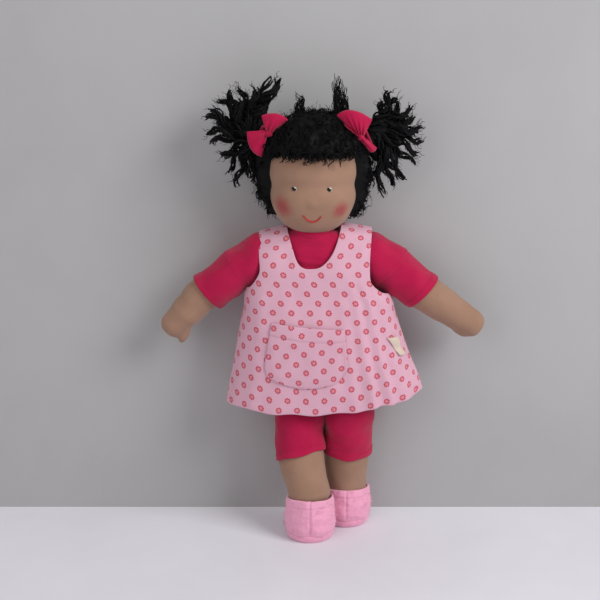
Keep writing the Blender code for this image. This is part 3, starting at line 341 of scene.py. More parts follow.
def cut_sheet(name, width, length, columns, rows, lay, outward, mark=None):
    """Cut a flat sheet and lay it in shape: lay(u, v) gives each point, and the cloth's own
    metres stay in its UV map, or mark(u, v) gives them."""
    put_down()
    bpy.ops.mesh.primitive_grid_add(x_subdivisions=columns, y_subdivisions=rows, size=1.0, calc_uvs=True)
    piece = call_piece(name)
    mesh = piece.data
    shares = [(vertex.co.x + 0.5, vertex.co.y + 0.5) for vertex in mesh.vertices]
    marks = mesh.uv_layers.active.data
    for loop in mesh.loops:
        u, v = shares[loop.vertex_index]
        marks[loop.index].uv = mark(u, v) if mark else (u * width, v * length)
    for vertex, (u, v) in zip(mesh.vertices, shares):
        vertex.co = Vector(lay(u, v)) + ORIGIN
    tidy_faces(piece, outward=outward)
    return piece


def stuff_ball(name, segments, rings, lay):
    """Start from a ball and pull each point to lay(direction)."""
    put_down()
    bpy.ops.mesh.primitive_uv_sphere_add(segments=segments, ring_count=rings, radius=1.0)
    piece = call_piece(name)
    for vertex in piece.data.vertices:
        vertex.co = Vector(lay(vertex.co.normalized())) + ORIGIN
    tidy_faces(piece)
    return piece


def spin_threads(name, threads, sides=0):
    """Make threads, each a row of places and radii, as round curves, and turn them into one mesh."""
    curve = bpy.data.curves.new(name, "CURVE")
    curve.dimensions = "3D"
    curve.bevel_depth = 1.0
    curve.bevel_resolution = sides
    curve.use_fill_caps = True
    for thread in threads:
        line = curve.splines.new("POLY")
        line.points.add(len(thread) - 1)
        for point, (place, radius) in zip(line.points, thread):
            point.co = (*(Vector(place) + ORIGIN), 1.0)
            point.radius = radius
    piece = bpy.data.objects.new(name, curve)
    bpy.context.scene.collection.objects.link(piece)
    pick_up(piece)
    bpy.ops.object.convert(target="MESH")
    return call_piece(name)


def sew_line(name, path, stitch, space, radius, lift=0.0):
    """Make a row of short stitches along a path; each stitch bows out a little."""
    lengths = [0.0]
    for here, there in zip(path, path[1:]):
        lengths.append(lengths[-1] + (Vector(there) - Vector(here)).length)

    def place(distance):
        number = 0
        while number < len(path) - 2 and lengths[number + 1] < distance:
            number += 1
        span = max(lengths[number + 1] - lengths[number], 1e-9)
        share = min(max((distance - lengths[number]) / span, 0.0), 1.0)
        return Vector(path[number]).lerp(Vector(path[number + 1]), share)

    threads = []
    for number in range(int(lengths[-1] / (stitch + space))):
        start = number * (stitch + space)
        thread = []
        for share in (0.0, 0.2, 0.5, 0.8, 1.0):
            full = sin(pi * (0.12 + 0.76 * share))
            spot = place(start + stitch * share)
            thread.append((spot + FORWARD * (lift * full), radius * full))
        threads.append(thread)
    return spin_threads(name, threads, 0)


def gather(pieces, name):
    """Join pieces into the first of them."""
    put_down()
    for piece in pieces:
        piece.select_set(True)
    bpy.context.view_layer.objects.active = pieces[0]
    bpy.ops.object.join()
    return call_piece(name)


def hang(piece, body, finish, *nodes):
    """Give a piece its finish, hang it on its body, and let it stand for its solids."""
    if not piece.data.polygons:
        raise RuntimeError("nothing was sewn for " + piece.name)
    piece.data.materials.clear()
    piece.data.materials.append(finish_of(finish))
    pick_up(piece)
    bpy.ops.object.shade_smooth()
    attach(piece, body)
    if nodes:
        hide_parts(*nodes)


# Finishes


def new_group(name, inputs, outputs):
    """Return a shader group with named inputs and outputs, and its two end nodes."""
    tree = bpy.data.node_groups.new(name, "ShaderNodeTree")
    for label, kind, value in inputs:
        socket = tree.interface.new_socket(name=label, in_out="INPUT", socket_type="NodeSocket" + kind)
        if kind != "Vector":
            socket.default_value = value
    for label, kind in outputs:
        tree.interface.new_socket(name=label, in_out="OUTPUT", socket_type="NodeSocket" + kind)
    return tree, tree.nodes.new("NodeGroupInput").outputs, tree.nodes.new("NodeGroupOutput").inputs


def set_socket(tree, socket, value):
    """Link a socket, or set its value."""
    if isinstance(value, bpy.types.NodeSocket):
        tree.links.new(value, socket)
    else:
        socket.default_value = value


def set_values(node, values):
    """Set the named inputs of a node."""
    for name, value in values.items():
        node.inputs[name].default_value = value


def new_material(name):
    """Return a new material, its node tree and its shader."""
    material = bpy.data.materials.new(name)
    material.use_nodes = True
    tree = material.node_tree
    return material, tree, tree.nodes["Principled BSDF"]


def roughen(tree, shader, height, strength, distance):
    """Let a height raise and sink the surface of a shader."""
    raised = tree.nodes.new("ShaderNodeBump")
    set_values(raised, {"Strength": strength, "Distance": distance})
    tree.links.new(height, raised.inputs["Height"])
    tree.links.new(raised.outputs[0], shader.inputs["Normal"])


def reckon(tree, operation, *values):
    """Add a Math node and return its result."""
    node = tree.nodes.new("ShaderNodeMath")
    node.operation = operation
    for socket, value in zip(node.inputs, values):
        set_socket(tree, socket, value)
    return node.outputs[0]


def soften(tree, value, low, high, out_low=0.0, out_high=1.0):
    """Add a smooth Map Range node and return its result."""
    node = tree.nodes.new("ShaderNodeMapRange")
    node.interpolation_type = "SMOOTHSTEP"
    for socket, number in zip(node.inputs, (value, low, high, out_low, out_high)):
        set_socket(tree, socket, number)
    return node.outputs[0]


def blend_colours(tree, share, one, other, how="MIX"):
    """Add a colour Mix node and return its result."""
    node = tree.nodes.new("ShaderNodeMix")
    node.data_type = "RGBA"
    node.blend_type = how
    set_socket(tree, node.inputs[0], share)
    for socket, value in ((node.inputs[6], one), (node.inputs[7], other)):
        set_socket(tree, socket, value if isinstance(value, bpy.types.NodeSocket) else (*value, 1.0))
    return node.outputs[2]


def speckle(tree, place, scale, detail=3.0, roughness=0.6, stretch=None):
    """Add a Noise node and return its value; stretch scales each axis first."""
    if stretch:
        node = tree.nodes.new("ShaderNodeVectorMath")
        node.operation = "MULTIPLY"
        set_socket(tree, node.inputs[0], place)
        node.inputs[1].default_value = stretch
        place = node.outputs[0]
    node = tree.nodes.new("ShaderNodeTexNoise")
    set_socket(tree, node.inputs["Vector"], place)
    set_values(node, {"Scale": scale, "Detail": detail, "Roughness": roughness})
    return node.outputs[0]


def split(tree, place):
    """Return the three parts of a vector."""
    node = tree.nodes.new("ShaderNodeSeparateXYZ")
    tree.links.new(place, node.inputs[0])
    return node.outputs


def knit_group():
    """Stocking-stitch jersey: columns of small V loops."""
    tree, given, result = new_group(
        "jersey_knit",
        [("Place", "Vector", None), ("Column", "Float", 0.0007), ("Row", "Float", 0.0006)],
        [("Height", "Float"), ("Shade", "Float")],
    )
    across, along, _ = split(tree, given["Place"])
    column = reckon(tree, "DIVIDE", across, given["Column"])
    from_edge = reckon(tree, "PINGPONG", column, 0.5)
    slant = reckon(tree, "MULTIPLY", from_edge, 1.1)
    row = reckon(tree, "ADD", reckon(tree, "DIVIDE", along, given["Row"]), slant)
    loop = reckon(tree, "PINGPONG", row, 0.5)
    loop = soften(tree, loop, 0.05, 0.5)
    ridge = soften(tree, from_edge, 0.0, 0.22)
    height = reckon(tree, "MULTIPLY", reckon(tree, "MULTIPLY_ADD", loop, 0.6, 0.4), ridge)
    tree.links.new(height, result["Height"])
    # The shade darkens the grooves between the loops and lightens their tops a little: painted shade.
    tree.links.new(soften(tree, height, 0.0, 0.8, 0.86, 1.04), result["Shade"])
    return tree


def weave_group():
    """Plain weave: threads that pass over and under each other."""
    tree, given, result = new_group(
        "plain_weave",
        [("Place", "Vector", None), ("Pitch", "Float", 0.0004)],
        [("Height", "Float"), ("Shade", "Float")],
    )
    across, along, _ = split(tree, given["Place"])
    u = reckon(tree, "DIVIDE", across, given["Pitch"])
    v = reckon(tree, "DIVIDE", along, given["Pitch"])
    cell = reckon(tree, "ADD", reckon(tree, "FLOOR", u), reckon(tree, "FLOOR", v))
    over = reckon(tree, "PINGPONG", cell, 1.0)
    warp = soften(tree, reckon(tree, "PINGPONG", u, 0.5), 0.0, 0.45)
    weft = soften(tree, reckon(tree, "PINGPONG", v, 0.5), 0.0, 0.45)
    one = reckon(tree, "MULTIPLY", reckon(tree, "MULTIPLY_ADD", over, 0.5, 0.5), warp)
    other = reckon(tree, "MULTIPLY", reckon(tree, "MULTIPLY_ADD", over, -0.5, 1.0), weft)
    height = reckon(tree, "MAXIMUM", one, other)
    tree.links.new(height, result["Height"])
    # The shade darkens the thread where it dips under its neighbour: painted shade.
    tree.links.new(soften(tree, height, 0.1, 0.9, 0.90, 1.03), result["Shade"])
    return tree


def fuzz_group():
    """Brushed fibres and small pills of fleece, felt or wool."""
    tree, given, result = new_group(
        "brushed_fibre",
        [("Place", "Vector", None)],
        [("Height", "Float"), ("Shade", "Float")],
    )
    fibre = speckle(tree, given["Place"], 1500.0, 4.0, 0.7, (1.0, 1.0, 0.45))
    pill = speckle(tree, given["Place"], 320.0, 2.0, 0.5)
    height = reckon(tree, "ADD", reckon(tree, "MULTIPLY", fibre, 0.6), reckon(tree, "MULTIPLY", pill, 0.5))
    tree.links.new(height, result["Height"])
    # The shade darkens the low parts between fibres and pills: painted shade.
    tree.links.new(soften(tree, height, 0.30, 0.80, 0.93, 1.05), result["Shade"])
    return tree


def mottle_group():
    """Slow change of colour over a cloth, as dye, light wear and handling leave."""
    tree, given, result = new_group(
        "cloth_mottle",
        [("Place", "Vector", None), ("Colour", "Color", (0.5, 0.5, 0.5, 1.0)),
         ("Deep", "Color", (0.4, 0.4, 0.4, 1.0)), ("Amount", "Float", 0.3), ("Shade", "Float", 1.0)],
        [("Colour", "Color"), ("Roughness", "Float")],
    )
    slow = soften(tree, speckle(tree, given["Place"], 45.0, 4.0, 0.55), 0.35, 0.70)
    share = reckon(tree, "MULTIPLY", slow, given["Amount"])
    colour = blend_colours(tree, share, given["Colour"], given["Deep"])
    # Multiply the colour by the threads' painted shade.
    painted_shade_grey = tree.nodes.new("ShaderNodeCombineXYZ")
    for socket in painted_shade_grey.inputs:
        tree.links.new(given["Shade"], socket)
    colour = blend_colours(tree, 1.0, colour, painted_shade_grey.outputs[0], "MULTIPLY")
    tree.links.new(colour, result["Colour"])
    tree.links.new(soften(tree, slow, 0.0, 1.0, 0.82, 0.95), result["Roughness"])
    return tree


def rosette_group():
    """A printed lattice of small rosettes: a ring of petals round a warm centre."""
    tree, given, result = new_group(
        "rosette_print",
        [("Place", "Vector", None), ("Across", "Float", 0.0150), ("Down", "Float", 0.0078),
         ("Radius", "Float", 0.0024)],
        [("Ring", "Float"), ("Centre", "Float"), ("Halo", "Float")],
    )
    wobble = speckle(tree, given["Place"], 700.0, 2.0, 0.5)
    u, v, _ = split(tree, given["Place"])
    down = reckon(tree, "DIVIDE", v, given["Down"])
    row = reckon(tree, "FLOOR", down)
    shift = reckon(tree, "MULTIPLY", reckon(tree, "PINGPONG", row, 1.0), 0.5)
    across = reckon(tree, "ADD", reckon(tree, "DIVIDE", u, given["Across"]), shift)
    cell = reckon(tree, "FLOOR", across)
    part_u = reckon(tree, "SUBTRACT", reckon(tree, "FRACT", across), 0.5)
    part_v = reckon(tree, "SUBTRACT", reckon(tree, "FRACT", down), 0.5)
    x = reckon(tree, "MULTIPLY", part_u, given["Across"])
    y = reckon(tree, "MULTIPLY", part_v, given["Down"])
    squares = reckon(tree, "ADD", reckon(tree, "MULTIPLY", x, x), reckon(tree, "MULTIPLY", y, y))
    far = reckon(tree, "SQRT", squares)
    far = reckon(tree, "DIVIDE", far, given["Radius"])
    far = reckon(tree, "ADD", far, reckon(tree, "MULTIPLY_ADD", wobble, 0.36, -0.18))
    turn = reckon(tree, "ARCTAN2", y, x)
    start = reckon(tree, "ADD", reckon(tree, "MULTIPLY", cell, 2.4), reckon(tree, "MULTIPLY", row, 1.7))
    petal = reckon(tree, "SINE", reckon(tree, "MULTIPLY_ADD", turn, 8.0, start))
    petal = soften(tree, petal, -0.9, 0.1, 0.45, 1.0)
    off = reckon(tree, "ABSOLUTE", reckon(tree, "SUBTRACT", far, 0.70))
    ring = reckon(tree, "MULTIPLY", soften(tree, off, 0.22, 0.42, 1.0, 0.0), petal)
    tree.links.new(ring, result["Ring"])
    tree.links.new(soften(tree, far, 0.20, 0.42, 1.0, 0.0), result["Centre"])
    tree.links.new(soften(tree, far, 0.7, 1.5, 1.0, 0.0), result["Halo"])
    return tree


GROUPS = {}


def use_group(tree, name, **values):
    """Place one of the shared groups in a material, with its own values."""
    if name not in GROUPS:
        GROUPS[name] = {
            "knit": knit_group, "weave": weave_group, "fuzz": fuzz_group,
            "mottle": mottle_group, "rosette": rosette_group,
        }[name]()
    node = tree.nodes.new("ShaderNodeGroup")
    node.node_tree = GROUPS[name]
    for key, value in values.items():
        if isinstance(value, (list, tuple)) and len(value) == 3:
            value = (*value, 1.0)
        set_socket(tree, node.inputs[key], value)
    return node.outputs


def cloth(name, colour, deep, surface, uv=False, bump=0.0002, sheen=0.25, paint=None, amount=0.35, **values):
    """Return a cloth finish: a knit, weave or brushed surface, its colour, slow mottle, and a soft sheen.
    paint(tree, place, colour) may print on the colour before the thread shading."""
    material, tree, shader = new_material(name)
    source = tree.nodes.new("ShaderNodeTexCoord").outputs
    place = source["UV"] if uv else source["Object"]
    if surface in ("knit", "weave") and not uv:
        x, _, z = split(tree, place)
        flat = tree.nodes.new("ShaderNodeCombineXYZ")
        tree.links.new(x, flat.inputs[0])
        tree.links.new(z, flat.inputs[1])
        thread_place = flat.outputs[0]
    else:
        thread_place = place
    threads = use_group(tree, surface, Place=thread_place, **values)
    base = paint(tree, place, colour) if paint else colour
    if paint:
        ratios = [dark / max(light, 0.001) for dark, light in zip(deep, colour)]
        deep = blend_colours(tree, 1.0, base, ratios, "MULTIPLY")
    # The threads' shade darkens the grooves between them in the colour: painted shade.
    tone = use_group(tree, "mottle", Place=source["Object"], Colour=base, Deep=deep, Amount=amount,
                     Shade=threads["Shade"])
    tree.links.new(tone["Colour"], shader.inputs["Base Color"])
    tree.links.new(tone["Roughness"], shader.inputs["Roughness"])
    roughen(tree, shader, threads["Height"], 0.6, bump)
    set_values(shader, {"Sheen Weight": sheen, "Sheen Roughness": 0.5, "Specular IOR Level": 0.2})
    return material


def print_rosettes(tree, place, colour):
    """Print the rosettes on a cloth."""
    settings = bpy.context.scene.doll_cloths
    motif = use_group(tree, "rosette", Place=place, Across=settings.rosette_across,
                      Down=settings.rosette_down, Radius=settings.rosette_radius)
    halo = reckon(tree, "MULTIPLY", motif["Halo"], 0.6)
    pale = blend_colours(tree, halo, colour, colour_of(222, 182, 194))
    ringed = blend_colours(tree, motif["Ring"], pale, list(settings.rosette_ring))
    return blend_colours(tree, motif["Centre"], ringed, list(settings.rosette_centre))


def rouge(tree, place, colour):
    """Rub a soft blush on the cheeks, and a trace of it on the nose."""
    settings = bpy.context.scene.doll_cloths
    for x, height, radius in BLUSHES.values():
        node = tree.nodes.new("ShaderNodeVectorMath")
        node.operation = "DISTANCE"
        tree.links.new(place, node.inputs[0])
        node.inputs[1].default_value = on_face(x, height) + ORIGIN
        grain = reckon(tree, "MULTIPLY_ADD", speckle(tree, place, 260.0), 0.0030, -0.0015)
        far = reckon(tree, "ADD", node.outputs["Value"], grain)
        near = soften(tree, far, radius * 0.20, radius * 1.20, 0.92, 0.0)
        colour = blend_colours(tree, near, colour, list(settings.blush))
    return colour


def dark_yarn(name, colour):
    """Return the black hair yarn: dull fibres with a faint cool gloss."""
    material, tree, shader = new_material(name)
    place = tree.nodes.new("ShaderNodeTexCoord").outputs["Object"]
    fibre = speckle(tree, place, 900.0, 4.0, 0.7, (1.0, 1.0, 0.4))
    lighter = [part * 1.6 + 0.001 for part in colour]
    tone = blend_colours(tree, soften(tree, fibre, 0.35, 0.75), colour, lighter)
    tree.links.new(tone, shader.inputs["Base Color"])
    tree.links.new(soften(tree, fibre, 0.3, 0.8, 0.55, 0.80), shader.inputs["Roughness"])
    roughen(tree, shader, fibre, 0.5, 0.0002)
    set_values(shader, {"Sheen Weight": 0.0, "Specular IOR Level": 0.13})
    return material


FINISHES = {}


def finish_of(name):
    """Return one of the doll's finishes, made when it is first wanted."""
    if name in FINISHES:
        return FINISHES[name]
    look = bpy.context.scene.doll_cloths
    skin, jersey = list(look.skin), list(look.jersey)
    deep_skin = darker(skin, 0.80)
    pinafore, fleece = list(look.pinafore), list(look.fleece)
    threads = {
        "white_thread": (colour_of(232, 228, 222), colour_of(205, 200, 192)),
        "black_thread": (colour_of(14, 13, 15), colour_of(8, 8, 9)),
        "red_thread": (colour_of(172, 30, 36), colour_of(140, 20, 28)),
        "pink_thread": (colour_of(226, 176, 200), colour_of(205, 150, 178)),
        "rose_thread": (darker(fleece, 0.93), darker(fleece, 0.85)),
        "crimson_thread": (darker(jersey, 0.72), darker(jersey, 0.6)),
    }
    cloths = {
        "skin_head": lambda: cloth("tan_jersey_head", skin, deep_skin, "knit", paint=rouge, bump=0.00012,
                                   Column=0.0006, Row=0.0005, sheen=0.15, amount=0.30),
        "skin": lambda: cloth("tan_jersey", skin, deep_skin, "knit", uv=True, bump=0.00012,
                              Column=0.0006, Row=0.0005, sheen=0.15, amount=0.45),
        "jersey": lambda: cloth("crimson_jersey", jersey, darker(jersey, 0.72), "knit", uv=True,
                                bump=0.00012, Column=0.0006, Row=0.0005, sheen=0.12, amount=0.40),
        "print": lambda: cloth("pink_print_cotton", pinafore, darker(pinafore, 0.93), "weave", uv=True,
                               bump=0.00010, sheen=0.10, paint=print_rosettes, amount=0.6, Pitch=0.0004),
        "fleece": lambda: cloth("pink_felt", fleece, darker(fleece, 0.95), "fuzz", bump=0.0003,
                                sheen=0.35, amount=0.3),
        "tape": lambda: cloth("cream_tape", colour_of(212, 194, 178), colour_of(190, 166, 150), "weave",
                              uv=True, bump=0.0001, Pitch=0.0005),
        "yarn": lambda: dark_yarn("black_yarn", list(look.hair)),
    }
    if name in threads:
        FINISHES[name] = cloth(name, *threads[name], "fuzz", bump=0.0001)
    else:
        FINISHES[name] = cloths[name]()
    return FINISHES[name]


# Head


def head_height(share):
    """Return the height of a point of the head, for a share of -1 at the chin to 1 at the crown."""
    return HEAD.z + (HEAD_HALF.z if share > 0 else HEAD_LOWER_HALF) * share


def head_sizes(height, grow=0.0):
    """Return the half width and half depth of the head at a height."""
    half, round_off = (HEAD_HALF.z, HEAD_ROUNDNESS) if height > HEAD.z else (HEAD_LOWER_HALF, JAW_ROUNDNESS)
    share = min(abs(height - HEAD.z) / (half + grow), 1.0)
    full = (1.0 - share**round_off) ** (1.0 / round_off)
    pull = 0.0006 * hump(height, 0.2860, 0.0080) - 0.0014 * hump(height, 0.2985, 0.0050)
    return (HEAD_HALF.x + grow) * full + pull, (HEAD_HALF.y + grow) * full + pull


def on_head(turn, height, grow=0.0):
    """Return a point of the head's surface at a turn about its axis and a height."""
    wide, deep = head_sizes(height, grow)
    return around(HEAD.x, HEAD.y, wide, deep, turn, height)


def on_face(x, height, lift=0.0):
    """Return a point on the front of the face."""
    wide, deep = head_sizes(height, lift)
    share = min(max((x - HEAD.x) / wide, -1.0), 1.0)
    return Vector((x, HEAD.y - deep * sqrt(1.0 - share * share), height))


def swell_at(spot, x, z, radius):
    """Return a soft round swelling of height 1 at a place on the face."""
    return exp(-(((spot.x - x) ** 2 + (spot.z - z) ** 2) / radius**2))


def face_relief(spot):
    """Return how far the face stands out at a point: nose, drawn-in eyes, soft cheeks and mouth."""
    if spot.y > HEAD.y:
        return uneven(spot, 0.016, 0.0005)
    relief = 0.0014 * swell_at(spot, *NOSE_PLACE, 0.0034)
    for place in EYE_PLACES.values():
        relief -= 0.0006 * swell_at(spot, *place, 0.0040)
    for sign in (1.0, -1.0):
        relief += 0.0007 * swell_at(spot, HEAD.x + sign * 0.0205, 0.2825, 0.0105)
    relief -= 0.0004 * swell_at(spot, -0.0050, 0.2752, 0.0060)
    return relief + uneven(spot, 0.016, 0.0004)


def sew_head():
    """The stuffed head."""
    def lay(way):
        spot = on_head(atan2(way.y, way.x), head_height(way.z))
        out = (spot - HEAD).normalized()
        return spot + out * face_relief(spot)

    head = stuff_ball("head", 128, 96, lay)
    hang(head, "head", "skin_head", "head_skin", "head_core", "core_thread", "nose_bead")


def sew_face():
    """Embroidered eyes with a light stitch each, and the mouth stitch."""
    for side, (x, z) in EYE_PLACES.items():
        dark = []
        for number in range(8):
            share = number / 7 * 2 - 1
            half = 0.0018 * sqrt(max(1.0 - share * share * 0.80, 0.0))
            thread = []
            for step in range(7):
                part = step / 6 * 2 - 1
                spot = on_face(x + part * half, z + share * 0.0013 - part * 0.0003)
                full = sqrt(max(1.0 - part * part * 0.8, 0.05))
                raised = face_relief(spot) + 0.00010 + 0.00035 * full
                thread.append((spot + FORWARD * raised, 0.00026 * full))
            dark.append(thread)
        # White stitches at the upper right of each eye: a painted highlight, the glint of the light on the
        # eye.
        light = []
        for slide in (-0.0002, 0.0001, 0.0004):
            thread = []
            for step in range(5):
                share = step / 4
                spot = on_face(x + 0.0004 + 0.0010 * share + slide, z + 0.0012 - 0.0007 * share + slide)
                full = sin(pi * (0.15 + 0.70 * share))
                thread.append((spot + FORWARD * (face_relief(spot) + 0.00062), 0.00021 * full))
            light.append(thread)
        rim = []
        for step in range(13):
            angle = radians(-60 + 170 * step / 12)
            spot = on_face(x + 0.0021 * cos(angle), z + 0.0017 * sin(angle))
            rim.append((spot + FORWARD * (face_relief(spot) + 0.00012), 0.00014))
        light.append(rim)
        eye = spin_threads("eye_stitches_" + side, dark, 1)
        hang(eye, "head", "black_thread", "eye_" + side)
        glint = spin_threads("eye_painted_glint_and_rim_" + side, light, 1)
        hang(glint, "head", "white_thread", "eye_glint_" + side)
    strands = []
    for phase in (0.0, pi):
        thread = []
        for step in range(41):
            share = step / 40 * 2 - 1
            x = MOUTH[0] + share * MOUTH[2]
            z = MOUTH[1] - 0.0006 * share - 0.0048 * (1.0 - abs(share) ** 2.3)
            spot = on_face(x, z)
            twist = step * 0.9 + phase
            spot = spot + FORWARD * (face_relief(spot) + 0.00035) + Vector((0, 0, 0.00020)) * sin(twist)
            thick = 0.00056 * (0.75 + 0.25 * sin(pi * (step / 40)))
            thread.append((spot + FORWARD * (0.00018 * cos(twist)), thick))
        strands.append(thread)
    knot = on_face(0.0014, 0.2760)
    strands.append([(knot + FORWARD * (0.0003 + 0.0003 * step), 0.00062 - 0.00015 * abs(step - 1))
                    for step in range(3)])
    mouth = spin_threads("mouth_stitches", strands, 2)
    hang(mouth, "head", "red_thread", "mouth_stitch")


# Hair


def hair_share(spot):
    """Return how much hair grows at a point of the head: 0 in the face window and under the head."""
    x, z, wide, tall = WINDOW
    edge = ((spot.x - x) / wide) ** 6 + (max(spot.z - z, 0.0) / tall) ** 6
    edge += 0.16 * noise.noise(spot / 0.006)
    front = ease(edge, 0.85, 1.10)
    side = ease(spot.y, -0.0165, -0.0110)
    low = ease(spot.z + 0.0012 * noise.noise(spot / 0.004), HAIR_LOW - 0.0025, HAIR_LOW + 0.0025)
    return max(front, side) * low


def hair_depth(spot):
    """Return how thick the yarn lies: thin beside the jaw, full at the temples and the crown."""
    low_side = 0.0035 if spot.x < HEAD.x else 0.0065
    side = ease(abs(spot.x - HEAD.x), 0.018, 0.030)
    taper = ease(spot.z, 0.2760, 0.3080)
    return (low_side + (0.0105 - low_side) * taper) * side + 0.0080 * (1.0 - side)


def hair_place(way, grow=0.0):
    """Return a point of the yarn cap and its outward direction."""
    spot = on_head(atan2(way.y, way.x), head_height(way.z))
    out = Vector(((spot.x - HEAD.x) / HEAD_HALF.x**2, (spot.y - HEAD.y) / HEAD_HALF.y**2,
                  (spot.z - HEAD.z) / HEAD_HALF.z**2)).normalized()
    share = hair_share(spot)
    lumps = uneven(spot, 0.007, 0.0030) + uneven(spot, 0.003, 0.0014)
    thick = -0.0015 + (0.0015 + hair_depth(spot) + grow + lumps) * share
    return spot + out * thick, out, share


GOLDEN_ANGLE = 2.399963


def spread_ways(count):
    """Return evenly spread directions over a ball."""
    ways = []
    for number in range(count):
        z = 1.0 - 2.0 * (number + 0.5) / count
        turn = number * GOLDEN_ANGLE
        flat = sqrt(1.0 - z * z)
        ways.append(Vector((flat * cos(turn), flat * sin(turn), z)))
    return ways


def curl(start, way, out, length, lift, wave, radius, dice, points=8):
    """Return one curly fibre that leaves a surface, waves and comes back to it."""
    aside = out.cross(way).normalized()
    phase = dice.uniform(0, tau)
    turns = dice.uniform(1.4, 2.6) * pi
    thread = []
    for step in range(points):
        share = step / (points - 1)
        reach = start + way * (length * share) + out * (lift * sin(pi * min(share * 1.15, 1.0)))
        swing = aside * sin(phase + turns * share) + out * (0.6 * cos(phase + turns * share))
        thick = radius * (0.55 + 0.45 * sin(pi * (0.15 + 0.80 * share)))
        thread.append((reach + swing * (wave * (0.35 + 0.65 * share)), thick))
    return thread


def yarn_lock(start, way, out, length, lift, wave, strands, dice, points=8, size=1.0):
    """Return the strands of one small lock: they share a wavy path, twist together and part at the end."""
    aside = out.cross(way).normalized()
    phase, turns = dice.uniform(0, tau), dice.uniform(1.6, 3.2) * pi
    threads = []
    for strand in range(strands):
        angle = tau * strand / strands + dice.uniform(-0.5, 0.5)
        twist = dice.uniform(1.0, 3.0) * pi
        reach = length * dice.uniform(0.75, 1.1)
        thread = []
        for step in range(points):
            share = step / (points - 1)
            spot = start + way * (reach * share) + out * (lift * sin(pi * min(share * 1.1, 1.0)))
            swing = aside * sin(phase + turns * share) + out * cos(phase + turns * share)
            spot = spot + swing * (wave * share)
            turn = angle + twist * share
            spread = size * (0.0007 + 0.0007 * abs(share - 0.35))
            thread.append((spot + (aside * cos(turn) + out * sin(turn)) * spread,
                           size * 0.00046 * (1.0 - 0.55 * share)))
        threads.append(thread)
    return threads


def knot_hair_cap():
    """The crocheted yarn cap: a thick lumpy bed under small curly locks, with a ragged fringe."""
    amount = bpy.context.scene.doll_hair
    bed = stuff_ball("hair_bed", 120, 84, lambda way: hair_place(way)[0])
    dice = random.Random(11)
    threads = []
    for way in spread_ways(amount.cap_locks):
        way = (way + any_way(dice) * 0.05).normalized()
        spot, out, share = hair_place(way)
        if share < 0.4:
            continue
        fall = Vector((dice.uniform(-1, 1), dice.uniform(-1, 1), dice.uniform(-1.2, 0.5)))
        if spot.y < -0.0150 and spot.z > 0.3150:
            fall = Vector((dice.uniform(-0.9, 0.9), -0.5, dice.uniform(-1.4, -0.2)))
        fall = (fall - out * fall.dot(out)).normalized()
        length = dice.uniform(0.0070, 0.0140) * (0.55 + 0.45 * ease(spot.z, 0.2800, 0.3000))
        threads += yarn_lock(spot - out * 0.0008, fall, out, length, dice.uniform(0.0008, 0.0030),
                             dice.uniform(0.0010, 0.0022), 3, dice, 8, dice.uniform(0.9, 1.35))
    x, z, wide, tall = WINDOW
    for number in range(amount.fringe_locks):
        across = (number + dice.random()) / amount.fringe_locks * 2 - 1
        root_x = x + 0.0345 * across
        root_z = z + tall * (1.0 - min(abs(across) * 0.0345 / wide, 1.0) ** 6) ** (1 / 6) + 0.0012
        tuft = 0.5 + 0.5 * sin(across * 11.0 + 0.9)
        spot = on_face(root_x, root_z, 0.0040 + dice.uniform(-0.0008, 0.0010))
        down = Vector((dice.uniform(-0.45, 0.45), -0.12, -1.0)).normalized()
        length = dice.uniform(0.0022, 0.0040) + 0.0034 * tuft * (1.0 - 0.5 * abs(across))
        threads += yarn_lock(spot, down, FORWARD, length, -0.0006, dice.uniform(0.0004, 0.0012), 3, dice,
                             6, 1.0)
    fibres = spin_threads("hair_cap_locks", threads, 0)
    cap = gather([bed, fibres], "hair_cap_yarn")
    hang(cap, "head", "yarn", "hair_cap")
    fuzz = []
    for way in spread_ways(amount.cap_fibres):
        way = (way + any_way(dice) * 0.08).normalized()
        spot, out, share = hair_place(way, 0.0008)
        if share < 0.5:
            continue
        along = any_way(dice)
        along = (along - out * along.dot(out)).normalized()
        way = (along + out * dice.uniform(0.1, 0.9)).normalized()
        fuzz.append(curl(spot, way, out, dice.uniform(0.004, 0.010), 0.0010, dice.uniform(0.0006, 0.0017),
                         dice.uniform(0.00012, 0.00020), dice, 7))
    loose = spin_threads("hair_cap_fuzz", fuzz, 0)
    hang(loose, "head", "yarn")


BUNCH_TILT = radians(24.0)
# Tips of the locks: across, height, depth
LOCK_TIPS = {
    "right": (
        (-0.0900, 0.3500, 0.004), (-0.0885, 0.3400, -0.004), (-0.0855, 0.3560, -0.009),
        (-0.0780, 0.3655, 0.004), (-0.0700, 0.3715, -0.006), (-0.0620, 0.3740, 0.006),
        (-0.0500, 0.3745, -0.006), (-0.0390, 0.3815, 0.002), (-0.0335, 0.3770, -0.005),
        (-0.0280, 0.3805, 0.003), (-0.0770, 0.3180, -0.006), (-0.0725, 0.3060, 0.003),
        (-0.0650, 0.2945, -0.004), (-0.0580, 0.3010, 0.008), (-0.0860, 0.3270, 0.008),
        (-0.0660, 0.3560, -0.010),
    ),
    "left": (
        (0.0640, 0.3600, -0.002), (0.0710, 0.3480, -0.005), (0.0790, 0.3360, 0.006),
        (0.0560, 0.3705, -0.005), (0.0620, 0.3640, 0.006), (0.0735, 0.3590, -0.007),
        (0.0760, 0.3500, 0.006), (0.0815, 0.3420, -0.004), (0.0835, 0.3310, 0.004),
        (0.0790, 0.3230, -0.008), (0.0760, 0.3110, 0.003), (0.0690, 0.2990, -0.005),
        (0.0585, 0.2915, 0.004), (0.0510, 0.2860, -0.004), (0.0640, 0.3480, 0.010),
        (0.0600, 0.3070, -0.009),
    ),
}


def bunch_start(side):
    """Return where a bunch leaves the head, and its way outwards."""
    sign = SIDES[side]
    place = Vector((HEAD.x + sign * 0.0388, -0.0060, 0.3345))
    return place, Vector((sign * cos(BUNCH_TILT), 0, sin(BUNCH_TILT)))


